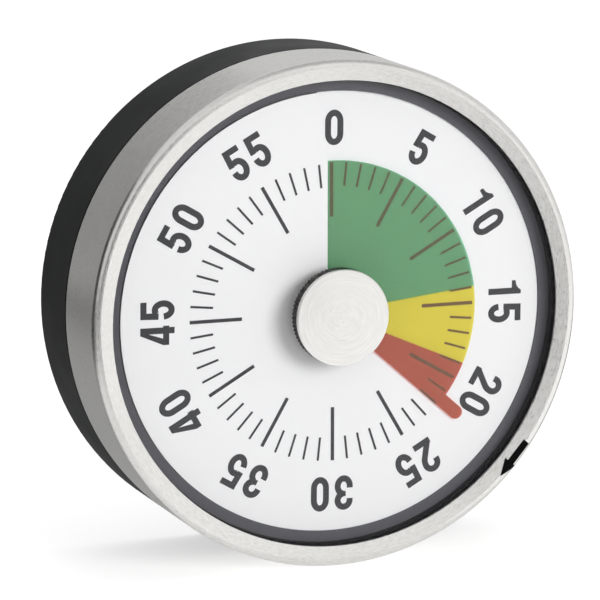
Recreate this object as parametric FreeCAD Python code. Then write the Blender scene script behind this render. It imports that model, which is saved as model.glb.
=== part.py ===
import FreeCAD, Part
import math
import os

# Visual countdown timer: a round magnetic puck with a turning steel front.
# Sizes are in millimetres. Every piece is drawn with the timer lying on its back:
# x to the right of the dial, y towards the 0 on the dial, z from the flat back to the
# front. The last step stands it upright, so that the dial looks along -Y, the 0 is at
# +Z and the centre of the magnetic back is the origin.

Vec = FreeCAD.Vector

# Case
CASE_RADIUS = 39.0
BASE_HEIGHT = 13.4
RING_SHADOW_GAP = 0.3
PANEL_THICKNESS = 2.0
BASE_WALL = 2.0
BASE_EDGE_ROUND = 0.8
SPIGOT_HEIGHT = 4.1
SPIGOT_WALL = 1.5
SPIGOT_STEP = 2.6

# Steel front ring
STEEL_THICKNESS = 0.4
BEZEL_WIDTH = 3.15
BEZEL_RISE = 2.6
BEZEL_SLOPE = 0.6
BEZEL_ROUND = 1.0

# Dial and its one turn of screw
FULL_TURN = 360.0
DIAL_LEVEL = 24.4
DIAL_THICKNESS = 0.35
DIAL_HOLE_RADIUS = 5.8
SCREW_PITCH = 1.0
SLIT_LEFT = 1.0
SLIT_STEP_RADIUS = 23.9
SLIT_STEP_LENGTH = 0.9
SLIT_OUTER_ANGLE = 4.2
DIAL_UPPER_END_ANGLE = 359.5
DIAL_UNDERLAP_ANGLE = 12.0

# Coloured film
FILM_RADIUS = 23.3
FILM_THICKNESS = 0.15
FILM_LIFT = 0.3
FILM_SETTING_ANGLE = 131.5
FILM_SPAN_ANGLE = 358.5
RED_SPAN_ANGLE = 18.0
YELLOW_SPAN_ANGLE = 30.0
HUB_RADIUS = 5.0
HUB_MARGIN = 0.1
POINTER_WIDTH = 2.1
POINTER_LEAD = 0.35
POINTER_REACH = 27.4

# Black frame that carries the lens
FLANGE_THICKNESS = 1.0
FLANGE_WIDTH = 1.7
WALL_SETBACK = 0.2
FRAME_LOWER_GAP = 0.5

# Lens
LENS_THICKNESS = 0.9
LENS_GRIP = 0.25
LENS_HOLE_RADIUS = 3.6

# Knob
KNOB_RADIUS = 7.4
KNOB_RISE = 4.7
KNURL_COUNT = 72
KNURL_DEPTH = 0.22
CAP_THICKNESS = 0.5
CAP_ROUND = 0.2
KNOB_BOSS_RADIUS = 3.5
KNOB_SOCKET_ROOF = 0.4

# Magnet and screws
MAGNET_RADIUS = 14.0
MAGNET_THICKNESS = 2.2
POCKET_FLOOR = 1.2
POCKET_WALL = 2.0
SCREW_RADIUS = 1.2
SCREW_HEAD_RADIUS = 2.4
SCREW_HEAD_HEIGHT = 1.1
SCREW_SLOT_WIDTH = 0.6
SCREW_SLOT_DEPTH = 0.5
SCREW_SINK = 0.2
SCREW_BITE = 3.0

# Movement plates
REAR_PLATE_LEVEL = 9.4
PLATE_THICKNESS = 1.0
PLATE_SPACING = 7.9
PLATE_EDGE_GAP = 1.9
PILLAR_RADIUS = 2.0
PILLAR_EDGE_DISTANCE = 3.0
PILLAR_FIRST_ANGLE = 100.0
PILLAR_COUNT = 3
POST_RADIUS = 3.0

# Arbors
MAIN_ARBOR_RADIUS = 2.0
FINE_ARBOR_RADIUS = 0.6
LEVER_ARBOR_RADIUS = 0.8
ARBOR_END_PLAY = 0.2
BUSH_WALL = 1.1
BUSH_FLANGE = 0.4
BUSH_FLANGE_WIDTH = 0.6
CLIP_THICKNESS = 0.35
CLIP_WIDTH = 1.4

# Gear train
PRESSURE_ANGLE = 25.0
BACKLASH_SHARE = 0.2
DEDENDUM_SHARE = 1.25
THIRD_MODULE = 0.32
GREAT_TEETH = 72
WHEEL_TEETH = 60
PINION_TEETH = 12
TRAIN_EDGE_DISTANCE = 13.9
SECOND_WHEEL_EDGE_GAP = 1.5
SECOND_ANGLE = 150.0
WHEEL_THICKNESS = 0.8
PINION_LENGTH = 1.2
GREAT_WHEEL_LEVEL = 16.5
GREAT_WHEEL_THICKNESS = 1.0
WHEEL_HUB_WALL = 1.0
LOWER_WHEEL_LEVEL = 11.0
UPPER_WHEEL_LEVEL = 12.3
WHEEL_WINDOWS = 5
WEB_INNER_SHARE = 0.4
WEB_OUTER_SHARE = 0.8

# Escapement
ESCAPE_TEETH = 15
ESCAPE_RADIUS = 5.8
ESCAPE_TOOTH_DEPTH = 1.2
ESCAPE_TOOTH_SLANT_ANGLE = 4.0
PALLET_DISTANCE = 8.5
PALLET_PIN_RADIUS = 0.35
PALLET_PIN_ADVANCE = 2.4
PALLET_PIN_SPREAD = 2.6
PALLET_WIDTH = 1.2
PALLET_LIFT = 0.4
BALANCE_LENGTH = 7.0
BALANCE_WEIGHT_RADIUS = 1.2
BALANCE_LEVEL = 13.6

# Mainspring
SPRING_LEVEL = 13.5
SPRING_WIDTH = 2.5
SPRING_THICKNESS = 0.3
SPRING_TURNS = 6
SPRING_TRAIN_GAP = 6.0
SPRING_POST_RADIUS = 0.8
SPRING_POST_ANGLE = -60.0
SPRING_POINTS_PER_TURN = 24

# Bell and hammer
BELL_POST_GAP = 7.0
BELL_LEVEL = 4.6
BELL_HEIGHT = 3.4
BELL_THICKNESS = 0.6
BELL_CROWN = 4.0
BELL_STUD_RADIUS = 2.5
BELL_SCREW_HEAD_HEIGHT = 0.9
HAMMER_PIVOT_OFFSET = 4.0
HAMMER_PIVOT_ANGLE = 40.0
HAMMER_ARM_ANGLE = -5.0
HAMMER_HEAD_RADIUS = 1.8
HAMMER_HEAD_LENGTH = 3.2
HAMMER_GAP = 0.4
ARM_WIDTH = 2.0
ARM_THICKNESS = 0.7

# Release cam and lever
CAM_RADIUS = 7.0
CAM_LEVEL = 20.0
CAM_THICKNESS = 0.7
CAM_LOBE_HEIGHT = 0.5
CAM_LOBE_WIDTH = 3.0
CAM_LOBE_ANGLE = 200.0
FEELER_GAP = 0.5
LEVER_WHEEL_GAP = 1.2
LEVER_PIVOT_ANGLE = -25.0
FEELER_ANGLE = 25.0
FINGER_REACH = 2.0
FINGER_ANGLE = 12.0

# Dial carrier
CARRIER_THICKNESS = 1.4
CARRIER_LEVEL = 20.9
CARRIER_SETBACK = 0.65
CARRIER_RIM_WIDTH = 2.5
CARRIER_RIM_DEPTH = 2.4
CARRIER_RIM_GAP_ANGLE = 6.0
CARRIER_POST_RADIUS = 2.5
CARRIER_POST_EDGE_DISTANCE = 6.0
CARRIER_POST_FIRST_ANGLE = 20.0

# Clearances
FIT_GAP = 0.05
GLUE_GAP = 0.1
SLIDE_GAP = 0.3

# How finely curves are drawn and how closely an edge is matched
SCREW_POINT_STEP = 5.0
FEWEST_SPANS = 4
SAME_EDGE_GAP = 0.01

# Levels and radii that follow from the sizes above
RING_BACK = BASE_HEIGHT + RING_SHADOW_GAP
BEZEL_INNER_RADIUS = CASE_RADIUS - BEZEL_WIDTH
BEZEL_TOP = DIAL_LEVEL + BEZEL_RISE
LIP_UNDERSIDE = BEZEL_TOP - STEEL_THICKNESS
STEEL_INNER_RADIUS = CASE_RADIUS - STEEL_THICKNESS
SPIGOT_RADIUS = CASE_RADIUS - SPIGOT_STEP
SPIGOT_TOP = BASE_HEIGHT + SPIGOT_HEIGHT
SPIGOT_INNER_RADIUS = SPIGOT_RADIUS - SPIGOT_WALL
POCKET_TOP = MAGNET_THICKNESS + POCKET_FLOOR
FRAME_INNER_RADIUS = SPIGOT_RADIUS + SLIDE_GAP
LENS_RADIUS = BEZEL_INNER_RADIUS + LENS_GRIP
LENS_TOP = LIP_UNDERSIDE - FIT_GAP
LENS_BOTTOM = LENS_TOP - LENS_THICKNESS
FLANGE_OUTER_RADIUS = BEZEL_INNER_RADIUS - WALL_SETBACK
FLANGE_INNER_RADIUS = FLANGE_OUTER_RADIUS - FLANGE_WIDTH
DIAL_RADIUS = FLANGE_INNER_RADIUS - SLIDE_GAP
CARRIER_RADIUS = DIAL_RADIUS - CARRIER_SETBACK
KNOB_TOP = DIAL_LEVEL + KNOB_RISE
CORE_TOP = KNOB_TOP - CAP_THICKNESS
SCREW_START = DIAL_LEVEL - SCREW_PITCH / 2
REAR_PLATE_TOP = REAR_PLATE_LEVEL + PLATE_THICKNESS
FRONT_PLATE_LEVEL = REAR_PLATE_TOP + PLATE_SPACING
FRONT_PLATE_TOP = FRONT_PLATE_LEVEL + PLATE_THICKNESS
BUSH_RADIUS = MAIN_ARBOR_RADIUS + BUSH_WALL
PLATE_RADIUS = SPIGOT_INNER_RADIUS - PLATE_EDGE_GAP
PILLAR_CIRCLE_RADIUS = PLATE_RADIUS - PILLAR_EDGE_DISTANCE
CARRIER_POST_CIRCLE_RADIUS = PLATE_RADIUS - CARRIER_POST_EDGE_DISTANCE
BELL_RADIUS = PILLAR_CIRCLE_RADIUS - POST_RADIUS - BELL_POST_GAP
HAMMER_PIVOT_RADIUS = BELL_RADIUS + HAMMER_PIVOT_OFFSET
TRAIN_CIRCLE_RADIUS = SPIGOT_INNER_RADIUS - TRAIN_EDGE_DISTANCE
SPRING_OUTER_RADIUS = TRAIN_CIRCLE_RADIUS - SPRING_TRAIN_GAP
MAIN_MODULE = 2 * TRAIN_CIRCLE_RADIUS / (GREAT_TEETH + PINION_TEETH)
SECOND_WHEEL_TIP_RADIUS = SPIGOT_INNER_RADIUS - SECOND_WHEEL_EDGE_GAP - TRAIN_CIRCLE_RADIUS
SECOND_MODULE = 2 * SECOND_WHEEL_TIP_RADIUS / (WHEEL_TEETH + 2)
GREAT_TIP_RADIUS = MAIN_MODULE * (GREAT_TEETH + 2) / 2
LEVER_PIVOT_RADIUS = GREAT_TIP_RADIUS + LEVER_ARBOR_RADIUS + LEVER_WHEEL_GAP
ARM_LEVEL = REAR_PLATE_LEVEL - ARBOR_END_PLAY - ARM_THICKNESS
PALLET_LEVEL = LOWER_WHEEL_LEVEL + WHEEL_THICKNESS + PALLET_LIFT
ARBOR_BACK = REAR_PLATE_LEVEL - ARBOR_END_PLAY
ARBOR_FRONT = FRONT_PLATE_TOP + ARBOR_END_PLAY


# Plain solids

def rod(radius, low, high, at=(0, 0)):
    """Upright cylinder between two levels."""
    return Part.makeCylinder(radius, high - low, Vec(at[0], at[1], low))


def sleeve(outer, inner, low, high, at=(0, 0)):
    """Upright tube between two levels."""
    return rod(outer, low, high, at).cut(rod(inner, low, high, at))


def turned(corners):
    """Solid turned about the timer's axis from (radius, level) corners."""
    points = [Vec(radius, 0, level) for radius, level in corners]
    face = Part.Face(Part.makePolygon(points + points[:1]))
    return face.revolve(Vec(0, 0, 0), Vec(0, 0, 1), FULL_TURN)


def slab(points, low, high):
    """Prism on a closed outline of (x, y) corners between two levels."""
    corners = [Vec(x, y, low) for x, y in points]
    face = Part.Face(Part.makePolygon(corners + corners[:1]))
    return face.extrude(Vec(0, 0, high - low))


def polar(radius, degrees):
    """Point at a radius and an angle that runs counter-clockwise from +x."""
    return (radius * math.cos(math.radians(degrees)), radius * math.sin(math.radians(degrees)))


def dial_point(radius, clockwise):
    """Point at a radius and an angle that runs clockwise from the 0 of the dial."""
    return polar(radius, 90 - clockwise)


def spun(shape, degrees, at=(0, 0)):
    """Copy of a shape turned counter-clockwise about an upright line."""
    turned_copy = shape.copy()
    turned_copy.rotate(Vec(at[0], at[1], 0), Vec(0, 0, 1), degrees)
    return turned_copy


def rounded(shape, radius, rims):
    """Shape with the circular edges at the given (radius, level) pairs rounded."""
    chosen = []
    for edge in shape.Edges:
        if not isinstance(edge.Curve, Part.Circle):
            continue
        for rim_radius, rim_level in rims:
            same_radius = abs(edge.Curve.Radius - rim_radius) < SAME_EDGE_GAP
            same_level = abs(edge.Curve.Center.z - rim_level) < SAME_EDGE_GAP
            if same_radius and same_level:
                chosen.append(edge)
    return shape.makeFillet(radius, chosen)


def fused(shapes):
    """One solid from several that touch or overlap."""
    return shapes[0].fuse(shapes[1:]).removeSplitter()


def bar(start, end, width, low, high):
    """Flat bar with round ends between two points."""
    length = math.dist(start, end)
    angle = math.degrees(math.atan2(end[1] - start[1], end[0] - start[0]))
    middle = Part.makeBox(length, width, high - low, Vec(start[0], start[1] - width / 2, low))
    middle.rotate(Vec(start[0], start[1], 0), Vec(0, 0, 1), angle)
    return fused([middle, rod(width / 2, low, high, start), rod(width / 2, low, high, end)])


# Screw surface that the dial and the film share

def screw_level(clockwise):
    """Level of the dial's face at an angle clockwise from its 0."""
    return SCREW_START + SCREW_PITCH * clockwise / FULL_TURN


def screw_edge(radius, start, end, offset):
    """Smooth curve along the screw surface at one radius."""
    count = max(FEWEST_SPANS, math.ceil((end - start) / SCREW_POINT_STEP)) + 1
    points = []
    for index in range(count):
        clockwise = start + (end - start) * index / (count - 1)
        x, y = dial_point(radius, clockwise)
        points.append(Vec(x, y, screw_level(clockwise) + offset))
    curve = Part.BSplineCurve()
    curve.interpolate(points)
    return curve.toShape()


def screw_slab(inner, outer, start, end, bottom, thickness):
    """Slab whose bottom lies at an offset from the screw surface."""
    surface = Part.makeRuledSurface(
        screw_edge(inner, start, end, bottom), screw_edge(outer, start, end, bottom))
    solid = surface.extrude(Vec(0, 0, thickness))
    if solid.Volume < 0:
        solid.reverse()
    return solid


# Gears

def involute(angle):
    """Involute function of an angle in radians."""
    return math.tan(angle) - angle


def tooth_half_angle(teeth, module, radius):
    """Half the angle that a tooth covers at a radius, in radians."""
    pressure = math.radians(PRESSURE_ANGLE)
    pitch_radius = teeth * module / 2
    base_radius = pitch_radius * math.cos(pressure)
    at_pitch = math.pi / (2 * teeth) - BACKLASH_SHARE * module / (4 * pitch_radius)
    local = math.acos(min(1.0, base_radius / max(radius, base_radius)))
    return at_pitch + involute(pressure) - involute(local)


def gear(teeth, module, low, high, bore, turn, at):
    """Spur gear with straight runs along each flank, one tooth at the angle turn."""
    pitch_radius = teeth * module / 2
    root = pitch_radius - DEDENDUM_SHARE * module
    base = max(root, pitch_radius * math.cos(math.radians(PRESSURE_ANGLE)))
    tip = pitch_radius + module
    radii = [root, base, pitch_radius, (pitch_radius + tip) / 2, tip]
    if base == root:
        radii = radii[1:]
    outline = []
    for index in range(teeth):
        centre = math.radians(turn) + 2 * math.pi * index / teeth
        flank = [(radius, tooth_half_angle(teeth, module, radius)) for radius in radii]
        for radius, half in flank:
            outline.append(polar(radius, math.degrees(centre - half)))
        for radius, half in reversed(flank):
            outline.append(polar(radius, math.degrees(centre + half)))
    outline = [(x + at[0], y + at[1]) for x, y in outline]
    return slab(outline, low, high).cut(rod(bore, low, high, at))


def mate_turn(driver_turn, driver_teeth, mate_teeth, direction):
    """Angle of a tooth on the mate, so that a gap faces the driver's tooth."""
    tooth_offset = (driver_turn - direction) * driver_teeth / mate_teeth
    return direction + 180 - tooth_offset + 180 / mate_teeth


def windows(shape, pitch_radius, low, high, at, turn):
    """Wheel with round windows cut through its web."""
    circle = pitch_radius * (WEB_OUTER_SHARE + WEB_INNER_SHARE) / 2
    radius = pitch_radius * (WEB_OUTER_SHARE - WEB_INNER_SHARE) / 2
    for index in range(WHEEL_WINDOWS):
        x, y = polar(circle, turn + FULL_TURN * index / WHEEL_WINDOWS)
        shape = shape.cut(rod(radius, low, high, (at[0] + x, at[1] + y)))
    return shape


def centre_distance(driver_teeth, module):
    """Distance between a wheel's arbor and that of the pinion it drives."""
    return (driver_teeth + PINION_TEETH) * module / 2


def step_angle(distance):
    """Angle between two arbors on the train circle that stand a distance apart."""
    return math.degrees(2 * math.asin(distance / (2 * TRAIN_CIRCLE_RADIUS)))


def direction_from(start, end):
    """Angle of the line from one point to another."""
    return math.degrees(math.atan2(end[1] - start[1], end[0] - start[0]))


# Arbor places: the second arbor meets the great wheel, and the rest follow round
SECOND_AT = polar(TRAIN_CIRCLE_RADIUS, SECOND_ANGLE)
THIRD_ANGLE = SECOND_ANGLE + step_angle(centre_distance(WHEEL_TEETH, SECOND_MODULE))
THIRD_AT = polar(TRAIN_CIRCLE_RADIUS, THIRD_ANGLE)
ESCAPE_ANGLE = THIRD_ANGLE + step_angle(centre_distance(WHEEL_TEETH, THIRD_MODULE))
ESCAPE_AT = polar(TRAIN_CIRCLE_RADIUS, ESCAPE_ANGLE)
PALLET_ANGLE = ESCAPE_ANGLE + step_angle(PALLET_DISTANCE)
PALLET_AT = polar(TRAIN_CIRCLE_RADIUS, PALLET_ANGLE)
HAMMER_AT = polar(HAMMER_PIVOT_RADIUS, HAMMER_PIVOT_ANGLE)
LEVER_AT = polar(LEVER_PIVOT_RADIUS, LEVER_PIVOT_ANGLE)
PILLAR_PLACES = [
    polar(PILLAR_CIRCLE_RADIUS, PILLAR_FIRST_ANGLE + FULL_TURN * index / PILLAR_COUNT)
    for index in range(PILLAR_COUNT)]
CARRIER_POST_PLACES = [
    polar(CARRIER_POST_CIRCLE_RADIUS, CARRIER_POST_FIRST_ANGLE + FULL_TURN * index / PILLAR_COUNT)
    for index in range(PILLAR_COUNT)]


# Base and back

def screw(at, head_low, length, upwards):
    """Slotted screw: the head starts at head_low and the shank runs up or down."""
    head_high = head_low + SCREW_HEAD_HEIGHT
    head = rod(SCREW_HEAD_RADIUS, head_low, head_high, at)
    if upwards:
        shank = rod(SCREW_RADIUS, head_high, head_high + length, at)
        slot_low = head_low
    else:
        shank = rod(SCREW_RADIUS, head_low - length, head_low, at)
        slot_low = head_high - SCREW_SLOT_DEPTH
    slot = Part.makeBox(
        2 * SCREW_HEAD_RADIUS, SCREW_SLOT_WIDTH, SCREW_SLOT_DEPTH,
        Vec(at[0] - SCREW_HEAD_RADIUS, at[1] - SCREW_SLOT_WIDTH / 2, slot_low))
    return fused([head, shank]).cut(slot)


def base_cup():
    """Black cup: back panel, wall, spigot for the turning front and screw posts."""
    wall_inner = CASE_RADIUS - BASE_WALL
    cup = turned([
        (0, MAGNET_THICKNESS),
        (MAGNET_RADIUS + GLUE_GAP, MAGNET_THICKNESS),
        (MAGNET_RADIUS + GLUE_GAP, 0),
        (CASE_RADIUS, 0),
        (CASE_RADIUS, BASE_HEIGHT),
        (SPIGOT_RADIUS, BASE_HEIGHT),
        (SPIGOT_RADIUS, SPIGOT_TOP),
        (SPIGOT_INNER_RADIUS, SPIGOT_TOP),
        (SPIGOT_INNER_RADIUS, BASE_HEIGHT - SPIGOT_WALL),
        (wall_inner, BASE_HEIGHT - SPIGOT_WALL - SPIGOT_STEP),
        (wall_inner, PANEL_THICKNESS),
        (MAGNET_RADIUS + POCKET_WALL, PANEL_THICKNESS),
        (MAGNET_RADIUS + POCKET_WALL, POCKET_TOP),
        (0, POCKET_TOP)])
    cup = rounded(cup, BASE_EDGE_ROUND, [(CASE_RADIUS, 0)])
    cup = rounded(cup, SLIDE_GAP, [(CASE_RADIUS, BASE_HEIGHT)])
    posts = [rod(POST_RADIUS, PANEL_THICKNESS / 2, REAR_PLATE_LEVEL, at) for at in PILLAR_PLACES]
    cup = fused([cup] + posts)
    for at in PILLAR_PLACES:
        sink = rod(SCREW_HEAD_RADIUS + SLIDE_GAP, 0, SCREW_SINK + SCREW_HEAD_HEIGHT, at)
        cup = cup.cut(sink)
        cup = cup.cut(rod(SCREW_RADIUS + FIT_GAP, 0, REAR_PLATE_LEVEL, at))
    return cup


def back_magnet():
    """Ferrite disc glued into the pocket, flush with the back."""
    return rounded(
        rod(MAGNET_RADIUS, 0, MAGNET_THICKNESS), GLUE_GAP, [(MAGNET_RADIUS, 0)])


def case_screws():
    """Screws from the back, through the posts and the rear plate into the pillars."""
    head_top = SCREW_SINK + SCREW_HEAD_HEIGHT
    length = REAR_PLATE_TOP + SCREW_BITE - head_top
    return Part.makeCompound(
        [screw(at, SCREW_SINK, length, True) for at in PILLAR_PLACES])


# Movement frame

def plate(low, holds_spring):
    """Round movement plate with its pivot holes."""
    high = low + PLATE_THICKNESS
    body = rod(PLATE_RADIUS, low, high).cut(rod(BUSH_RADIUS, low, high))
    for at in (SECOND_AT, THIRD_AT, ESCAPE_AT, PALLET_AT):
        body = body.cut(rod(FINE_ARBOR_RADIUS + FIT_GAP, low, high, at))
    for at in (HAMMER_AT, LEVER_AT):
        body = body.cut(rod(LEVER_ARBOR_RADIUS + FIT_GAP, low, high, at))
    for at in PILLAR_PLACES:
        body = body.cut(rod(SCREW_RADIUS + FIT_GAP, low, high, at))
    if holds_spring:
        body = body.cut(rod(SPRING_POST_RADIUS, low, high, spring_post_place()))
    return body


def rear_plate():
    """Plate that lies on the base's posts."""
    return plate(REAR_PLATE_LEVEL, True)


def front_plate():
    """Plate that lies on the pillars and carries the dial."""
    return plate(FRONT_PLATE_LEVEL, False)


def plate_pillars():
    """Brass spacers between the plates, drilled for the screws at both ends."""
    pillars = []
    for at in PILLAR_PLACES:
        pillar = rod(PILLAR_RADIUS, REAR_PLATE_TOP, FRONT_PLATE_LEVEL, at)
        pillars.append(pillar.cut(
            rod(SCREW_RADIUS + FIT_GAP, REAR_PLATE_TOP, FRONT_PLATE_LEVEL, at)))
    return Part.makeCompound(pillars)


def plate_screws():
    """Screws that hold the front plate on the pillars."""
    length = PLATE_THICKNESS + SCREW_BITE
    return Part.makeCompound(
        [screw(at, FRONT_PLATE_TOP, length, False) for at in PILLAR_PLACES])


def arbor_bushes():
    """Flanged brass bushes for the main arbor, one in each plate."""
    bore = MAIN_ARBOR_RADIUS + FIT_GAP
    flange = BUSH_RADIUS + BUSH_FLANGE_WIDTH
    rear = fused([
        sleeve(BUSH_RADIUS, bore, REAR_PLATE_LEVEL, REAR_PLATE_TOP),
        sleeve(flange, bore, REAR_PLATE_TOP, REAR_PLATE_TOP + BUSH_FLANGE)])
    front = fused([
        sleeve(BUSH_RADIUS, bore, FRONT_PLATE_LEVEL, FRONT_PLATE_TOP),
        sleeve(flange, bore, FRONT_PLATE_TOP, FRONT_PLATE_TOP + BUSH_FLANGE)])
    return Part.makeCompound([rear, front])


# Mainspring

def spring_post_place():
    """Centre of the post, just outside the end of the spring."""
    reach = SPRING_OUTER_RADIUS + SPRING_THICKNESS / 2 + SPRING_POST_RADIUS
    return polar(reach, SPRING_POST_ANGLE)


def spring_post():
    """Rivet in the rear plate that holds the outer end of the mainspring."""
    return rod(
        SPRING_POST_RADIUS, REAR_PLATE_LEVEL, SPRING_LEVEL + SPRING_WIDTH, spring_post_place())


def spring_curve(offset):
    """One side of the spring strip, wound inwards from the post."""
    inner = MAIN_ARBOR_RADIUS + FIT_GAP + SPRING_THICKNESS / 2
    count = SPRING_TURNS * SPRING_POINTS_PER_TURN
    points = []
    for index in range(count + 1):
        share = index / count
        radius = SPRING_OUTER_RADIUS + (inner - SPRING_OUTER_RADIUS) * share + offset
        x, y = polar(radius, SPRING_POST_ANGLE + FULL_TURN * SPRING_TURNS * share)
        points.append(Vec(x, y, SPRING_LEVEL))
    curve = Part.BSplineCurve()
    curve.interpolate(points)
    return curve.toShape()


def mainspring():
    """Flat spiral spring from its post to the main arbor."""
    outer = spring_curve(SPRING_THICKNESS / 2)
    inner = spring_curve(-SPRING_THICKNESS / 2)
    outer_ends = [outer.valueAt(outer.FirstParameter), outer.valueAt(outer.LastParameter)]
    inner_ends = [inner.valueAt(inner.FirstParameter), inner.valueAt(inner.LastParameter)]
    outline = Part.Wire([
        outer, Part.makeLine(outer_ends[1], inner_ends[1]),
        inner, Part.makeLine(inner_ends[0], outer_ends[0])])
    return Part.Face(outline).extrude(Vec(0, 0, SPRING_WIDTH))


# Bell and hammer

def bell_cup():
    """Steel gong dish that opens towards the movement."""
    top = BELL_LEVEL + BELL_HEIGHT
    outer = BELL_RADIUS
    inner = BELL_RADIUS - BELL_THICKNESS
    floor = BELL_LEVEL + BELL_THICKNESS
    cup = turned([
        (SCREW_RADIUS + FIT_GAP, BELL_LEVEL),
        (outer - BELL_CROWN, BELL_LEVEL),
        (outer, BELL_LEVEL + BELL_CROWN / 2),
        (outer, top),
        (inner, top),
        (inner, floor + BELL_CROWN / 2),
        (outer - BELL_CROWN, floor),
        (SCREW_RADIUS + FIT_GAP, floor)])
    return cup


def bell_stud():
    """Brass spacer that stands the bell off the magnet pocket."""
    return sleeve(BELL_STUD_RADIUS, SCREW_RADIUS + FIT_GAP, POCKET_TOP, BELL_LEVEL)


def bell_screw():
    """Low screw that clamps the bell on its stud."""
    head_low = BELL_LEVEL + BELL_THICKNESS
    head = rod(SCREW_HEAD_RADIUS, head_low, head_low + BELL_SCREW_HEAD_HEIGHT)
    shank = rod(SCREW_RADIUS, POCKET_TOP, head_low)
    return fused([head, shank])


def hammer_head_place():
    """Centre of the hammer's head, a small gap outside the bell."""
    reach = BELL_RADIUS + HAMMER_GAP + HAMMER_HEAD_RADIUS
    return polar(reach, HAMMER_ARM_ANGLE)


def hammer_arbor():
    """Pin between the plates that the hammer's arm is fixed to."""
    return rod(LEVER_ARBOR_RADIUS, ARM_LEVEL, ARBOR_FRONT, HAMMER_AT)


def hammer_arm():
    """Thin arm behind the rear plate, from the arbor to the head."""
    arm = bar(HAMMER_AT, hammer_head_place(), ARM_WIDTH, ARM_LEVEL, ARM_LEVEL + ARM_THICKNESS)
    return arm.cut(rod(LEVER_ARBOR_RADIUS, ARM_LEVEL, ARM_LEVEL + ARM_THICKNESS, HAMMER_AT))


def hammer_head():
    """Round head that hangs from the arm just outside the bell's rim."""
    return rod(HAMMER_HEAD_RADIUS, ARM_LEVEL - HAMMER_HEAD_LENGTH, ARM_LEVEL, hammer_head_place())


# Release cam and lever

def release_cam():
    """Disc on the main arbor whose lobe lifts the lever as the time runs out."""
    disc = rod(CAM_RADIUS, CAM_LEVEL, CAM_LEVEL + CAM_THICKNESS)
    lobe_at = polar(CAM_RADIUS + CAM_LOBE_HEIGHT - CAM_LOBE_WIDTH / 2, CAM_LOBE_ANGLE)
    lobe = rod(CAM_LOBE_WIDTH / 2, CAM_LEVEL, CAM_LEVEL + CAM_THICKNESS, lobe_at)
    cam = fused([disc, lobe])
    return cam.cut(rod(MAIN_ARBOR_RADIUS, CAM_LEVEL, CAM_LEVEL + CAM_THICKNESS))


def release_lever():
    """Feeler at the cam, joined by its arbor to the finger beside the hammer."""
    reach = CAM_RADIUS + CAM_LOBE_HEIGHT + FEELER_GAP + ARM_WIDTH / 2
    feeler_at = polar(reach, LEVER_PIVOT_ANGLE + FEELER_ANGLE)
    feeler = bar(LEVER_AT, feeler_at, ARM_WIDTH, CAM_LEVEL, CAM_LEVEL + CAM_THICKNESS)
    finger_at = polar(LEVER_PIVOT_RADIUS + FINGER_REACH, LEVER_PIVOT_ANGLE + FINGER_ANGLE)
    finger = bar(LEVER_AT, finger_at, ARM_WIDTH, ARM_LEVEL, ARM_LEVEL + ARM_THICKNESS)
    arbor = rod(LEVER_ARBOR_RADIUS, ARM_LEVEL, CAM_LEVEL + CAM_THICKNESS, LEVER_AT)
    return fused([arbor, feeler, finger])


# Gear train

GREAT_TURN = 0.0
SECOND_TURN = mate_turn(GREAT_TURN, GREAT_TEETH, PINION_TEETH, SECOND_ANGLE)
SECOND_TO_THIRD = direction_from(SECOND_AT, THIRD_AT)
THIRD_TURN = mate_turn(SECOND_TURN, WHEEL_TEETH, PINION_TEETH, SECOND_TO_THIRD)
THIRD_TO_ESCAPE = direction_from(THIRD_AT, ESCAPE_AT)
ESCAPE_TURN = mate_turn(THIRD_TURN, WHEEL_TEETH, PINION_TEETH, THIRD_TO_ESCAPE)


def main_arbor():
    """Steel arbor from behind the rear plate up into the knob."""
    low = REAR_PLATE_LEVEL - ARBOR_END_PLAY - CLIP_THICKNESS
    return rod(MAIN_ARBOR_RADIUS, low, CORE_TOP - KNOB_SOCKET_ROOF)


def arbor_clip():
    """Open clip that stops the arbor from being pulled forward."""
    low = REAR_PLATE_LEVEL - ARBOR_END_PLAY - CLIP_THICKNESS
    clip = sleeve(MAIN_ARBOR_RADIUS + CLIP_WIDTH, MAIN_ARBOR_RADIUS, low, low + CLIP_THICKNESS)
    mouth = Part.makeBox(
        2 * CLIP_WIDTH + MAIN_ARBOR_RADIUS, MAIN_ARBOR_RADIUS, CLIP_THICKNESS,
        Vec(0, -MAIN_ARBOR_RADIUS / 2, low))
    return clip.cut(mouth)


def great_wheel():
    """Wheel on the main arbor that drives the train."""
    low = GREAT_WHEEL_LEVEL
    high = low + GREAT_WHEEL_THICKNESS
    radius = GREAT_TEETH * MAIN_MODULE / 2
    wheel = gear(GREAT_TEETH, MAIN_MODULE, low, high, MAIN_ARBOR_RADIUS, GREAT_TURN, (0, 0))
    wheel = windows(wheel, radius, low, high, (0, 0), SECOND_ANGLE)
    hub = sleeve(
        MAIN_ARBOR_RADIUS + WHEEL_HUB_WALL, MAIN_ARBOR_RADIUS, low, high + SLIDE_GAP)
    return fused([wheel, hub])


def train_arbor(at):
    """Thin arbor with a pivot in each plate."""
    return rod(FINE_ARBOR_RADIUS, ARBOR_BACK, ARBOR_FRONT, at)


def train_wheel(module, level, turn, at):
    """Wheel of the train with round windows."""
    high = level + WHEEL_THICKNESS
    radius = WHEEL_TEETH * module / 2
    wheel = gear(WHEEL_TEETH, module, level, high, FINE_ARBOR_RADIUS, turn, at)
    return windows(wheel, radius, level, high, at, turn)


def train_pinion(module, wheel_level, turn, at):
    """Pinion that stands a little proud of the wheel it meets, on both sides."""
    low = wheel_level - (PINION_LENGTH - WHEEL_THICKNESS) / 2
    return gear(PINION_TEETH, module, low, low + PINION_LENGTH, FINE_ARBOR_RADIUS, turn, at)


def second_arbor():
    """Arbor of the second wheel."""
    return train_arbor(SECOND_AT)


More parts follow.
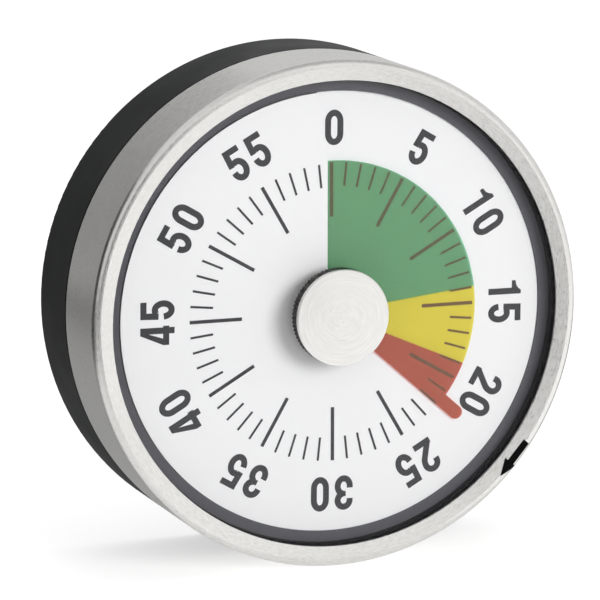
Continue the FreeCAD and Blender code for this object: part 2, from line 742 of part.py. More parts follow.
def second_wheel():
    """Wheel that drives the third pinion."""
    return train_wheel(SECOND_MODULE, LOWER_WHEEL_LEVEL, SECOND_TURN, SECOND_AT)


def second_pinion():
    """Pinion that the great wheel drives."""
    low = GREAT_WHEEL_LEVEL - (PINION_LENGTH - GREAT_WHEEL_THICKNESS) / 2
    return gear(
        PINION_TEETH, MAIN_MODULE, low, low + PINION_LENGTH, FINE_ARBOR_RADIUS,
        SECOND_TURN, SECOND_AT)


def third_arbor():
    """Arbor of the third wheel."""
    return train_arbor(THIRD_AT)


def third_wheel():
    """Wheel that drives the escape pinion."""
    return train_wheel(THIRD_MODULE, UPPER_WHEEL_LEVEL, THIRD_TURN, THIRD_AT)


def third_pinion():
    """Pinion that the second wheel drives."""
    return train_pinion(SECOND_MODULE, LOWER_WHEEL_LEVEL, THIRD_TURN, THIRD_AT)


def escape_arbor():
    """Arbor of the escape wheel."""
    return train_arbor(ESCAPE_AT)


def escape_pinion():
    """Pinion that the third wheel drives."""
    return train_pinion(THIRD_MODULE, UPPER_WHEEL_LEVEL, ESCAPE_TURN, ESCAPE_AT)


def escape_wheel():
    """Wheel with slanted teeth that the pallet lets through one at a time."""
    low = LOWER_WHEEL_LEVEL
    outline = []
    for index in range(ESCAPE_TEETH):
        start = FULL_TURN * index / ESCAPE_TEETH
        tip = polar(ESCAPE_RADIUS, start)
        foot = polar(ESCAPE_RADIUS - ESCAPE_TOOTH_DEPTH, start + ESCAPE_TOOTH_SLANT_ANGLE)
        outline.append((tip[0] + ESCAPE_AT[0], tip[1] + ESCAPE_AT[1]))
        outline.append((foot[0] + ESCAPE_AT[0], foot[1] + ESCAPE_AT[1]))
    high = low + WHEEL_THICKNESS
    return slab(outline, low, high).cut(rod(FINE_ARBOR_RADIUS, low, high, ESCAPE_AT))


# Pallet and balance

def pallet_point(advance, spread):
    """Point beside the pallet arbor, measured towards the escape wheel and across."""
    heading = math.radians(direction_from(PALLET_AT, ESCAPE_AT))
    along = (math.cos(heading), math.sin(heading))
    across = (-along[1], along[0])
    return (
        PALLET_AT[0] + advance * along[0] + spread * across[0],
        PALLET_AT[1] + advance * along[1] + spread * across[1])


def pallet_arbor():
    """Arbor that the pallet and the balance bar rock on."""
    return train_arbor(PALLET_AT)


def pallet_lever():
    """Anchor whose two arms carry the pins beside the escape wheel."""
    low = PALLET_LEVEL
    high = low + WHEEL_THICKNESS
    arms = []
    for side in (-1, 1):
        tip = pallet_point(PALLET_PIN_ADVANCE, side * PALLET_PIN_SPREAD)
        arms.append(bar(PALLET_AT, tip, PALLET_WIDTH, low, high))
    tail = bar(PALLET_AT, pallet_point(-PALLET_PIN_ADVANCE, 0), PALLET_WIDTH, low, high)
    lever = fused(arms + [tail])
    return lever.cut(rod(FINE_ARBOR_RADIUS, low, high, PALLET_AT))


def pallet_pins():
    """Hard pins that hang from the pallet's arms to the level of the escape wheel."""
    pins = []
    for side in (-1, 1):
        at = pallet_point(PALLET_PIN_ADVANCE, side * PALLET_PIN_SPREAD)
        pins.append(rod(PALLET_PIN_RADIUS, LOWER_WHEEL_LEVEL, PALLET_LEVEL, at))
    return Part.makeCompound(pins)


def balance_bar():
    """Weighted bar on the pallet arbor that sets the beat."""
    low = BALANCE_LEVEL
    high = low + WHEEL_THICKNESS
    half = BALANCE_LENGTH / 2
    ends = [pallet_point(0, side * half) for side in (-1, 1)]
    weights = [rod(BALANCE_WEIGHT_RADIUS, low, high, at) for at in ends]
    whole = fused([bar(ends[0], ends[1], PALLET_WIDTH + FINE_ARBOR_RADIUS, low, high)] + weights)
    return whole.cut(rod(FINE_ARBOR_RADIUS, low, high, PALLET_AT))


# Dial and its carrier

def dial_carrier():
    """Round plastic plate on three posts, with an open ramped rim under the dial."""
    top = CARRIER_LEVEL + CARRIER_THICKNESS
    floor = sleeve(CARRIER_RADIUS, DIAL_HOLE_RADIUS, CARRIER_LEVEL, top)
    rim = screw_slab(
        CARRIER_RADIUS - CARRIER_RIM_WIDTH, CARRIER_RADIUS - GLUE_GAP, -DIAL_UNDERLAP_ANGLE,
        FULL_TURN - DIAL_UNDERLAP_ANGLE - CARRIER_RIM_GAP_ANGLE, -DIAL_THICKNESS - CARRIER_RIM_DEPTH,
        CARRIER_RIM_DEPTH)
    posts = [
        rod(CARRIER_POST_RADIUS, FRONT_PLATE_TOP, CARRIER_LEVEL, at)
        for at in CARRIER_POST_PLACES]
    return fused([floor, rim] + posts)


def slit_cutter():
    """Prism over the raised end of the dial, to the right of the slit's stepped edge."""
    low = SCREW_START + SCREW_PITCH / 2
    high = DIAL_LEVEL + 2 * SCREW_PITCH
    far = DIAL_RADIUS + SLIDE_GAP
    step_end = SLIT_STEP_RADIUS + SLIT_STEP_LENGTH
    lean = math.tan(math.radians(SLIT_OUTER_ANGLE))
    right = DIAL_HOLE_RADIUS
    return slab([
        (-SLIT_LEFT, 0),
        (right, 0),
        (right, far),
        (-far * lean, far),
        (-step_end * lean, step_end),
        (-SLIT_LEFT, SLIT_STEP_RADIUS)], low, high)


def dial():
    """White dial, cut from rim to hole and sprung into one shallow turn of screw."""
    sheet = screw_slab(
        DIAL_HOLE_RADIUS, DIAL_RADIUS, -DIAL_UNDERLAP_ANGLE, DIAL_UPPER_END_ANGLE,
        -DIAL_THICKNESS, DIAL_THICKNESS)
    return sheet.cut(slit_cutter())


# Coloured film

def film_sector(start, end, outer):
    """Piece of the film between two angles clockwise from the 0 of the dial."""
    bottom = FILM_LIFT - FILM_THICKNESS / 2
    return screw_slab(HUB_RADIUS, outer, start, end, bottom, FILM_THICKNESS)


def film_green():
    """The longest colour, up to the yellow."""
    start = FILM_SETTING_ANGLE - FILM_SPAN_ANGLE
    return film_sector(start, FILM_SETTING_ANGLE - RED_SPAN_ANGLE - YELLOW_SPAN_ANGLE, FILM_RADIUS)


def film_yellow():
    """The middle colour, five minutes wide."""
    start = FILM_SETTING_ANGLE - RED_SPAN_ANGLE - YELLOW_SPAN_ANGLE
    return film_sector(start, FILM_SETTING_ANGLE - RED_SPAN_ANGLE, FILM_RADIUS)


def film_red():
    """The last minutes, with the round-ended pointer along the leading edge."""
    low = SCREW_START - SCREW_PITCH
    high = DIAL_LEVEL + 2 * SCREW_PITCH
    reach = POINTER_REACH + POINTER_WIDTH
    start = FILM_SETTING_ANGLE - RED_SPAN_ANGLE
    sheet = film_sector(start, FILM_SETTING_ANGLE + DIAL_UNDERLAP_ANGLE, reach)
    tip_y = POINTER_REACH - POINTER_WIDTH / 2
    tip_x = POINTER_LEAD - POINTER_WIDTH / 2
    pointer = bar((tip_x, 0), (tip_x, tip_y), POINTER_WIDTH, low, high)
    beyond = Part.makeBox(reach, 2 * reach, high - low, Vec(POINTER_LEAD, -reach, low))
    colour = rod(FILM_RADIUS, low, high).cut(beyond)
    outline = fused([colour, pointer])
    return sheet.common(spun(outline, -FILM_SETTING_ANGLE))


def film_hub():
    """Sleeve that carries the film and slides a little along the main arbor."""
    lead = screw_level(FILM_SETTING_ANGLE) + FILM_LIFT
    trail = screw_level(FILM_SETTING_ANGLE - FILM_SPAN_ANGLE) + FILM_LIFT
    edge = FILM_THICKNESS / 2 + HUB_MARGIN
    return sleeve(HUB_RADIUS, MAIN_ARBOR_RADIUS + FIT_GAP, trail - edge, lead + edge)


# Turning front

def steel_ring():
    """Brushed steel side and bezel, pressed from one sheet."""
    crest = BEZEL_TOP + BEZEL_SLOPE
    ring = turned([
        (CASE_RADIUS, RING_BACK),
        (CASE_RADIUS, crest),
        (BEZEL_INNER_RADIUS, BEZEL_TOP),
        (BEZEL_INNER_RADIUS, LIP_UNDERSIDE),
        (STEEL_INNER_RADIUS, crest - STEEL_THICKNESS),
        (STEEL_INNER_RADIUS, RING_BACK)])
    ring = rounded(ring, BEZEL_ROUND, [(CASE_RADIUS, crest)])
    inner_round = BEZEL_ROUND - STEEL_THICKNESS
    return rounded(ring, inner_round, [(STEEL_INNER_RADIUS, crest - STEEL_THICKNESS)])


def lens_frame():
    """Black ring inside the steel: it seats the lens and runs round the spigot."""
    outer = STEEL_INNER_RADIUS - FIT_GAP
    crest = BEZEL_TOP + BEZEL_SLOPE - STEEL_THICKNESS
    shoulder = outer - BEZEL_ROUND
    return turned([
        (FRAME_INNER_RADIUS, RING_BACK + FRAME_LOWER_GAP),
        (outer, RING_BACK + FRAME_LOWER_GAP),
        (outer, crest - BEZEL_ROUND),
        (shoulder, LIP_UNDERSIDE),
        (LENS_RADIUS + FIT_GAP, LENS_TOP),
        (LENS_RADIUS + FIT_GAP, LENS_BOTTOM),
        (FLANGE_OUTER_RADIUS, LENS_BOTTOM),
        (FLANGE_OUTER_RADIUS, DIAL_LEVEL),
        (FLANGE_INNER_RADIUS, DIAL_LEVEL),
        (FLANGE_INNER_RADIUS, DIAL_LEVEL - FLANGE_THICKNESS),
        (FRAME_INNER_RADIUS, DIAL_LEVEL - FLANGE_THICKNESS)])


def lens():
    """Clear window, gripped under the steel lip."""
    return sleeve(LENS_RADIUS, LENS_HOLE_RADIUS, LENS_BOTTOM, LENS_TOP)


def knob_core():
    """Black knurled knob with a boss through the lens and a socket for the arbor."""
    outline = []
    for index in range(KNURL_COUNT):
        angle = FULL_TURN * index / KNURL_COUNT
        outline.append(polar(KNOB_RADIUS, angle))
        outline.append(polar(KNOB_RADIUS - KNURL_DEPTH, angle + 180 / KNURL_COUNT))
    grip = slab(outline, LENS_TOP, CORE_TOP)
    boss = rod(KNOB_BOSS_RADIUS, LENS_BOTTOM, LENS_TOP)
    core = fused([grip, boss])
    return core.cut(rod(MAIN_ARBOR_RADIUS, LENS_BOTTOM, CORE_TOP - KNOB_SOCKET_ROOF))


def knob_cap():
    """Brushed steel disc on the knob."""
    return rounded(
        rod(KNOB_RADIUS, CORE_TOP, KNOB_TOP), CAP_ROUND, [(KNOB_RADIUS, KNOB_TOP)])


PIECES = [
    base_cup, back_magnet, case_screws,
    rear_plate, front_plate, plate_pillars, plate_screws, arbor_bushes,
    spring_post, mainspring,
    bell_cup, bell_stud, bell_screw,
    dial_carrier, dial,
    hammer_arbor, hammer_arm, hammer_head, release_lever,
    main_arbor, arbor_clip, great_wheel, release_cam,
    second_arbor, second_wheel, second_pinion,
    third_arbor, third_wheel, third_pinion,
    escape_arbor, escape_wheel, escape_pinion,
    pallet_arbor, pallet_lever, pallet_pins, balance_bar,
    film_hub, film_green, film_yellow, film_red,
    steel_ring, lens_frame, lens, knob_core, knob_cap]


def upright(shape):
    """Stand the timer up, with the dial looking along -Y and its 0 at +Z."""
    standing = shape.copy()
    standing.rotate(Vec(0, 0, 0), Vec(1, 0, 0), 90)
    return standing


def main():
    """Write each piece to its own file and print its solids, validity and volume."""
    os.makedirs("parts", exist_ok=True)
    for piece in PIECES:
        shape = upright(piece())
        solids = len(shape.Solids)
        print(piece.__name__, "solids", solids, "valid", shape.isValid(), round(shape.Volume, 2))
        shape.exportStep("parts/" + piece.__name__ + ".step")
    print("train", SECOND_AT, THIRD_AT, ESCAPE_AT, PALLET_AT)
    print("levers", HAMMER_AT, LEVER_AT)


main()
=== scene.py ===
import logging
import math
from abc import ABC, abstractmethod
from dataclasses import dataclass, field
from enum import Enum
from functools import cached_property
from typing import Sequence

import bmesh
import bpy
from mathutils import Euler, Matrix, Vector
from mathutils.geometry import delaunay_2d_cdt


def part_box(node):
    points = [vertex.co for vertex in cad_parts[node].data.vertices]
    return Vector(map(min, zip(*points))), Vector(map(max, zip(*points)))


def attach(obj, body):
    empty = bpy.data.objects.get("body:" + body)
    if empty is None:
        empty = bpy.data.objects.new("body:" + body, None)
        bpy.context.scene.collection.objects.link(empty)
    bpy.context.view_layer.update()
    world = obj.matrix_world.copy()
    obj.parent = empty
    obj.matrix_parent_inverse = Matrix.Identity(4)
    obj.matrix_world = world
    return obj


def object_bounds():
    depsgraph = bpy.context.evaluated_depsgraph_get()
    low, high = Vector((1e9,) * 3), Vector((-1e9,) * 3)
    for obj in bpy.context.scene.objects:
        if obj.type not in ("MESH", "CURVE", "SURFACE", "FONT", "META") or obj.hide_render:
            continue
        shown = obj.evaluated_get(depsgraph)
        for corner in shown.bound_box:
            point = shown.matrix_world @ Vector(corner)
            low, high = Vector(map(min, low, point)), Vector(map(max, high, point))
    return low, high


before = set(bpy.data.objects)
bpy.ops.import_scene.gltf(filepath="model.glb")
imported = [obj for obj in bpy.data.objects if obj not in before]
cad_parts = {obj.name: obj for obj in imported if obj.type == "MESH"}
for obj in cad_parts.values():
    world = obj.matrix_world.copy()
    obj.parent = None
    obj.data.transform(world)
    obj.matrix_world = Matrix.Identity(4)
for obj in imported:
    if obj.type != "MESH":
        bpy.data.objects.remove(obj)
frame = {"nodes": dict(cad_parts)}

CAD_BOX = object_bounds()

# Visual countdown timer: finishes, dial print, bezel print and studio, built around
# the fixed frame. The dial looks along -Y, its 0 is at +Z and its axis is the Y axis.

MM = 0.001
FULL_TURN = 360.0
FLAT_RING_DEPTH = 2.2 * MM
LIT_POINT = Vector((0.0, -15.0 * MM, 0.0))
LOG = logging.getLogger("countdown_timer")

Colour = tuple[float, float, float]
Point = tuple[float, float]


class Body(Enum):
    """Bodies of the frame that new pieces ride on."""
    BASE = "base"
    FRONT = "front"


def linear(red: int, green: int, blue: int) -> Colour:
    """Shader colour of a screen colour.

    Args:
        red: Red part, 0 to 255.
        green: Green part, 0 to 255.
        blue: Blue part, 0 to 255.

    Returns:
        The same colour in linear light.
    """
    def one(part: int) -> float:
        """Linear value of one part."""
        share = part / 255
        return share / 12.92 if share <= 0.04045 else ((share + 0.055) / 1.055) ** 2.4
    return (one(red), one(green), one(blue))


def scaled(colour: Colour, factor: float) -> Colour:
    """Colour made lighter or darker by a factor."""
    return tuple(min(1.0, part * factor) for part in colour)


class NodeBench:
    """Short calls that add nodes to one node tree and join them."""

    def __init__(self, tree: bpy.types.NodeTree) -> None:
        """Keep the tree that the nodes go into."""
        self.tree = tree

    def add(self, kind: str, **settings: object) -> bpy.types.Node:
        """Add a node.

        Args:
            kind: Blender's name of the node type.
            **settings: Values for the node's own properties.

        Returns:
            The new node.
        """
        node = self.tree.nodes.new(kind)
        for name, value in settings.items():
            setattr(node, name, value)
        return node

    def feed(self, socket: bpy.types.NodeSocket, value: object) -> None:
        """Join another socket to this one, or set its constant.

        Args:
            socket: The input to fill.
            value: An output socket, or a plain value.
        """
        if isinstance(value, bpy.types.NodeSocket):
            self.tree.links.new(value, socket)
        else:
            socket.default_value = value

    def math(self, operation: str, *values: object) -> bpy.types.NodeSocket:
        """Result of one sum.

        Args:
            operation: Blender's name of the sum.
            *values: Sockets or numbers.

        Returns:
            The output socket.
        """
        node = self.add("ShaderNodeMath", operation=operation)
        for socket, value in zip(node.inputs, values):
            self.feed(socket, value)
        return node.outputs[0]

    def triple(self, x: object, y: object, z: object) -> bpy.types.NodeSocket:
        """Vector of three values."""
        node = self.add("ShaderNodeCombineXYZ")
        for socket, value in zip(node.inputs, (x, y, z)):
            self.feed(socket, value)
        return node.outputs[0]


class ShaderBench(NodeBench):
    """Node calls that a finish needs."""

    def place(self, centre: Vector) -> bpy.types.NodeSocket:
        """Object coordinates, measured from a centre."""
        texture = self.add("ShaderNodeTexCoord")
        mapping = self.add("ShaderNodeMapping")
        mapping.inputs["Location"].default_value = -centre
        self.feed(mapping.inputs["Vector"], texture.outputs["Object"])
        return mapping.outputs["Vector"]

    def split(self, vector: bpy.types.NodeSocket) -> tuple[bpy.types.NodeSocket, ...]:
        """The three parts of a vector."""
        node = self.add("ShaderNodeSeparateXYZ")
        self.feed(node.inputs[0], vector)
        return tuple(node.outputs)

    def turned_place(self, centre: Vector, along: float, across: float) -> bpy.types.NodeSocket:
        """Coordinates that run round the timer's axis without a seam.

        Args:
            centre: A point on the axis of the pattern.
            along: Pattern units for one radian round the axis.
            across: Pattern units for one metre across the grain.

        Returns:
            The coordinates.
        """
        x, y, z = self.split(self.place(centre))
        squares = self.math("ADD", self.math("MULTIPLY", x, x), self.math("MULTIPLY", z, z))
        radius = self.math("SQRT", squares)
        safe = self.math("MAXIMUM", radius, 0.01 * MM)
        cosine = self.math("MULTIPLY", self.math("DIVIDE", x, safe), along)
        sine = self.math("MULTIPLY", self.math("DIVIDE", z, safe), along)
        depth = self.math("MULTIPLY", self.math("ADD", radius, y), across)
        return self.triple(cosine, depth, sine)

    def noise(self, vector: bpy.types.NodeSocket, scale: float, detail: float,
              rough: float = 0.5) -> bpy.types.NodeSocket:
        """Noise from 0 to 1.

        Args:
            vector: The coordinates.
            scale: Cells for one unit of the coordinates.
            detail: Octaves of finer noise.
            rough: Share of each finer octave.

        Returns:
            The value socket.
        """
        node = self.add("ShaderNodeTexNoise")
        self.feed(node.inputs["Vector"], vector)
        node.inputs["Scale"].default_value = scale
        node.inputs["Detail"].default_value = detail
        node.inputs["Roughness"].default_value = rough
        return node.outputs["Fac"]

    def span(self, value: bpy.types.NodeSocket, low: float, high: float,
             start: float = 0.0, end: float = 1.0) -> bpy.types.NodeSocket:
        """Value moved from one range to another and held there.

        Args:
            value: The value socket.
            low: Result at the start of the range.
            high: Result at the end of the range.
            start: Start of the range.
            end: End of the range.

        Returns:
            The value socket.
        """
        node = self.add("ShaderNodeMapRange", clamp=True)
        self.feed(node.inputs["Value"], value)
        for name, number in (("From Min", start), ("From Max", end), ("To Min", low), ("To Max", high)):
            node.inputs[name].default_value = number
        return node.outputs["Result"]

    def blend(self, share: object, first: object, second: object) -> bpy.types.NodeSocket:
        """Colour between two colours."""
        node = self.add("ShaderNodeMix", data_type="RGBA")
        self.feed(node.inputs["Factor"], share)
        for name, colour in (("A", first), ("B", second)):
            socket = next(s for s in node.inputs if s.name == name and s.type == "RGBA")
            self.feed(socket, (*colour, 1.0) if isinstance(colour, tuple) else colour)
        return next(s for s in node.outputs if s.type == "RGBA")

    def mottled(self, noise: bpy.types.NodeSocket, colour: Colour, dark: float, light: float,
                start: float = 0.35, end: float = 0.65) -> bpy.types.NodeSocket:
        """Colour that wanders between two shades of itself.

        Args:
            noise: The noise that moves it.
            colour: The colour.
            dark: Factor of the shade at low noise.
            light: Factor of the shade at high noise.
            start: Noise at which the first shade ends.
            end: Noise at which the second shade starts.

        Returns:
            The colour socket.
        """
        return self.blend(
            self.span(noise, 0.0, 1.0, start, end), scaled(colour, dark), scaled(colour, light))

    def wandering(self, noise: bpy.types.NodeSocket, mean: float, down: float,
                  up: float) -> bpy.types.NodeSocket:
        """Value that a noise moves between two factors of its mean."""
        return self.span(noise, mean * down, mean * up, 0.3, 0.7)

    def bump(self, height: bpy.types.NodeSocket, depth: float) -> bpy.types.NodeSocket:
        """Normal of a fine relief.

        Args:
            height: Height from 0 to 1.
            depth: Real depth of the relief in metres.

        Returns:
            The normal socket.
        """
        node = self.add("ShaderNodeBump")
        node.inputs["Strength"].default_value = 1.0
        node.inputs["Distance"].default_value = depth
        self.feed(node.inputs["Height"], height)
        return node.outputs["Normal"]


@dataclass(frozen=True)
class Finish(ABC):
    """A surface finish that becomes one material.

    Attributes:
        name: Name of the material.
        colour: Base colour in linear light.
        roughness: Mean roughness.
        centre: A point on the axis of the pattern.
    """
    name: str
    colour: Colour
    roughness: float
    centre: Vector = field(default=Vector((0, 0, 0)), kw_only=True)

    def material(self) -> bpy.types.Material:
        """The material, made on the first call and found again later."""
        known = bpy.data.materials.get(self.name)
        if known:
            return known
        made = bpy.data.materials.new(self.name)
        made.use_nodes = True
        bench = ShaderBench(made.node_tree)
        shader = made.node_tree.nodes["Principled BSDF"]
        shader.inputs["Base Color"].default_value = (*self.colour, 1.0)
        shader.inputs["Roughness"].default_value = self.roughness
        self.detail(bench, shader)
        return made

    @abstractmethod
    def detail(self, bench: ShaderBench, shader: bpy.types.Node) -> None:
        """Add the finish's own pattern to the shader."""

    def put_on(self, *objects: bpy.types.Object) -> None:
        """Make this the only material of the given objects."""
        for piece in objects:
            piece.data.materials.clear()
            piece.data.materials.append(self.material())


@dataclass(frozen=True)
class BrushedMetal(Finish):
    """Metal brushed or turned in fine lines round an axis.

    Attributes:
        line: Mean width of a brush line in metres.
        run: Brush lines' length as a share of a radian.
        depth: Depth of the lines in metres.
        stretch: How far highlights stretch across the lines.
        cloud: How much the colour varies.
        sheet_share: Share of that which comes from the sheet and not from the lines.
    """
    line: float = 0.12 * MM
    run: float = 0.16
    depth: float = 0.004 * MM
    stretch: float = 0.5
    cloud: float = 0.05
    sheet_share: float = 0.15

    def detail(self, bench: ShaderBench, shader: bpy.types.Node) -> None:
        """Fine lines in the relief, the roughness and the colour."""
        shader.inputs["Metallic"].default_value = 1.0
        shader.inputs["Anisotropic"].default_value = self.stretch
        tangent = bench.add("ShaderNodeTangent", direction_type="RADIAL", axis="Y")
        bench.feed(shader.inputs["Tangent"], tangent.outputs["Tangent"])
        lines = bench.noise(bench.turned_place(self.centre, 1 / self.run, 1 / self.line), 1.0, 3.0, 0.6)
        sheet = bench.noise(bench.place(self.centre), 0.12 / MM, 2.0)
        bench.feed(shader.inputs["Roughness"], bench.wandering(lines, self.roughness, 0.8, 1.25))
        tone = bench.math(
            "ADD", bench.math("MULTIPLY", lines, 1 - self.sheet_share),
            bench.math("MULTIPLY", sheet, self.sheet_share))
        bench.feed(shader.inputs["Base Color"], bench.mottled(
            tone, self.colour, 1 - self.cloud, 1 + self.cloud))
        bench.feed(shader.inputs["Normal"], bench.bump(lines, self.depth))


@dataclass(frozen=True)
class MouldedPlastic(Finish):
    """Plastic with a fine spark-eroded grain.

    Attributes:
        grain: Size of the grain in metres.
        depth: Depth of the grain in metres.
        wear: How much lighter the rubbed places are.
        gloss: Strength of the mirror part, where 0.5 is usual for plastic.
    """
    grain: float = 0.25 * MM
    depth: float = 0.006 * MM
    wear: float = 0.25
    gloss: float = 0.5

    def detail(self, bench: ShaderBench, shader: bpy.types.Node) -> None:
        """Grain in the relief, and slow changes in gloss and tone."""
        shader.inputs["Specular IOR Level"].default_value = self.gloss
        place = bench.place(self.centre)
        grain = bench.noise(place, 1 / self.grain, 3.0, 0.6)
        slow = bench.noise(place, 0.08 / MM, 2.0)
        bench.feed(shader.inputs["Roughness"], bench.wandering(slow, self.roughness, 0.88, 1.12))
        bench.feed(shader.inputs["Base Color"], bench.mottled(
            grain, self.colour, 1.0, 1 + self.wear, 0.4, 0.75))
        bench.feed(shader.inputs["Normal"], bench.bump(grain, self.depth))


@dataclass(frozen=True)
class FramePlastic(MouldedPlastic):
    """Black frame whose flat ring by the dial has a paler matt texture.

    Attributes:
        flat: Colour of the flat ring.
        flat_level: Place of the flat ring on Y, in metres.
        edge: How far in front of the ring its texture ends, in metres.
        fade: How far in front of the ring its texture starts to fade, in metres.
    """
    flat: Colour = (0.1, 0.1, 0.1)
    flat_level: float = 0.0
    edge: float = 0.08 * MM
    fade: float = 0.02 * MM

    def detail(self, bench: ShaderBench, shader: bpy.types.Node) -> None:
        """Grain as on any moulding, with the paler ring by its place."""
        super().detail(bench, shader)
        level = bench.split(bench.place(self.centre))[1]
        on_ring = bench.span(level, 0.0, 1.0, self.flat_level - self.edge, self.flat_level - self.fade)
        body = shader.inputs["Base Color"].links[0].from_socket
        grain = bench.noise(bench.place(self.centre), 1 / self.grain, 3.0, 0.6)
        ring = bench.mottled(grain, self.flat, 0.93, 1.07, 0.35, 0.7)
        bench.feed(shader.inputs["Base Color"], bench.blend(on_ring, body, ring))


@dataclass(frozen=True)
class CoatedCard(Finish):
    """White dial sheet with a fine printed-card tooth.

    Attributes:
        tooth: Size of the tooth in metres.
    """
    tooth: float = 0.18 * MM

    def detail(self, bench: ShaderBench, shader: bpy.types.Node) -> None:
        """Very faint tooth and mottling."""
        place = bench.place(self.centre)
        tooth = bench.noise(place, 1 / self.tooth, 2.0)
        mottle = bench.noise(place, 0.25 / MM, 3.0)
        bench.feed(shader.inputs["Base Color"], bench.mottled(mottle, self.colour, 0.985, 1.0))
        bench.feed(shader.inputs["Roughness"], bench.wandering(tooth, self.roughness, 0.9, 1.1))
        bench.feed(shader.inputs["Normal"], bench.bump(tooth, 0.003 * MM))


@dataclass(frozen=True)
class Ink(Finish):
    """Printed ink with a slightly uneven lay.

    Attributes:
        patch: Size of the uneven patches in metres.
        gloss: Strength of the mirror part, where 0.5 is usual for plastic.
    """
    patch: float = 0.3 * MM
    gloss: float = 0.3

    def detail(self, bench: ShaderBench, shader: bpy.types.Node) -> None:
        """Uneven tone and gloss."""
        shader.inputs["Specular IOR Level"].default_value = self.gloss
        lay = bench.noise(bench.place(self.centre), 1 / self.patch, 3.0)
        bench.feed(shader.inputs["Base Color"], bench.mottled(lay, self.colour, 0.9, 1.1))
        bench.feed(shader.inputs["Roughness"], bench.wandering(lay, self.roughness, 0.9, 1.1))


@dataclass(frozen=True)
class TintedFilm(Finish):
    """Thin tinted film: part of the light passes through its tint, part is scattered.

    Attributes:
        tint: Share of each colour that one pass lets through.
        body: Share of the surface that scatters light.
    """
    tint: Colour = (1.0, 1.0, 1.0)
    body: float = 0.12

    def detail(self, bench: ShaderBench, shader: bpy.types.Node) -> None:
        """Clear tint behind a scattering body with a faint cast grain."""
        grain = bench.noise(bench.place(self.centre), 0.9 / MM, 3.0)
        bench.feed(shader.inputs["Base Color"], bench.mottled(grain, self.colour, 0.95, 1.05))
        clear = bench.add("ShaderNodeBsdfTransparent")
        clear.inputs["Color"].default_value = (*self.tint, 1.0)
        mix = bench.add("ShaderNodeMixShader")
        mix.inputs["Fac"].default_value = self.body
        bench.feed(mix.inputs[1], clear.outputs[0])
        bench.feed(mix.inputs[2], shader.outputs[0])
        bench.feed(bench.tree.nodes["Material Output"].inputs["Surface"], mix.outputs[0])


@dataclass(frozen=True)
class ClearWindow(Finish):
    """Flat clear window that only shows by its gloss.

    Attributes:
        refraction: Index that sets how the gloss grows with the angle.
        strength: Share of that gloss that shows.
    """
    refraction: float = 1.3
    strength: float = 0.5

    def detail(self, bench: ShaderBench, shader: bpy.types.Node) -> None:
        """Gloss by angle on the outer faces of a clear body, broken by faint wipe marks."""
        shader.inputs["Metallic"].default_value = 1.0
        wipe = bench.noise(bench.place(self.centre), 0.06 / MM, 4.0, 0.65)
        bench.feed(shader.inputs["Roughness"], bench.span(
            wipe, self.roughness, self.roughness * 3, 0.4, 0.75))
        clear = bench.add("ShaderNodeBsdfTransparent")
        fresnel = bench.add("ShaderNodeFresnel")
        fresnel.inputs["IOR"].default_value = self.refraction
        mix = bench.add("ShaderNodeMixShader")
        inside = bench.add("ShaderNodeNewGeometry").outputs["Backfacing"]
        outside = bench.math("SUBTRACT", self.strength, inside)
        bench.feed(mix.inputs["Fac"], bench.math(
            "MULTIPLY", fresnel.outputs[0], bench.math("MAXIMUM", outside, 0.0)))
        bench.feed(mix.inputs[1], clear.outputs[0])
        bench.feed(mix.inputs[2], shader.outputs[0])
        bench.feed(bench.tree.nodes["Material Output"].inputs["Surface"], mix.outputs[0])


@dataclass(frozen=True)
class PressedCeramic(Finish):
    """Grey ferrite with pressed grain and small pits.

    Attributes:
        pit: Spacing of the pits in metres.
    """
    pit: float = 0.6 * MM

    def detail(self, bench: ShaderBench, shader: bpy.types.Node) -> None:
        """Pits in the relief and specks in the colour."""
        place = bench.place(self.centre)
        cells = bench.add("ShaderNodeTexVoronoi")
        bench.feed(cells.inputs["Vector"], place)
        cells.inputs["Scale"].default_value = 1 / self.pit
        specks = bench.noise(place, 3.0 / MM, 3.0)
        bench.feed(shader.inputs["Base Color"], bench.mottled(specks, self.colour, 0.75, 1.3, 0.3, 0.7))
        height = bench.math("ADD", bench.span(cells.outputs["Distance"], 0.0, 1.0, 0.0, 0.25), specks)
        bench.feed(shader.inputs["Normal"], bench.bump(height, 0.01 * MM))


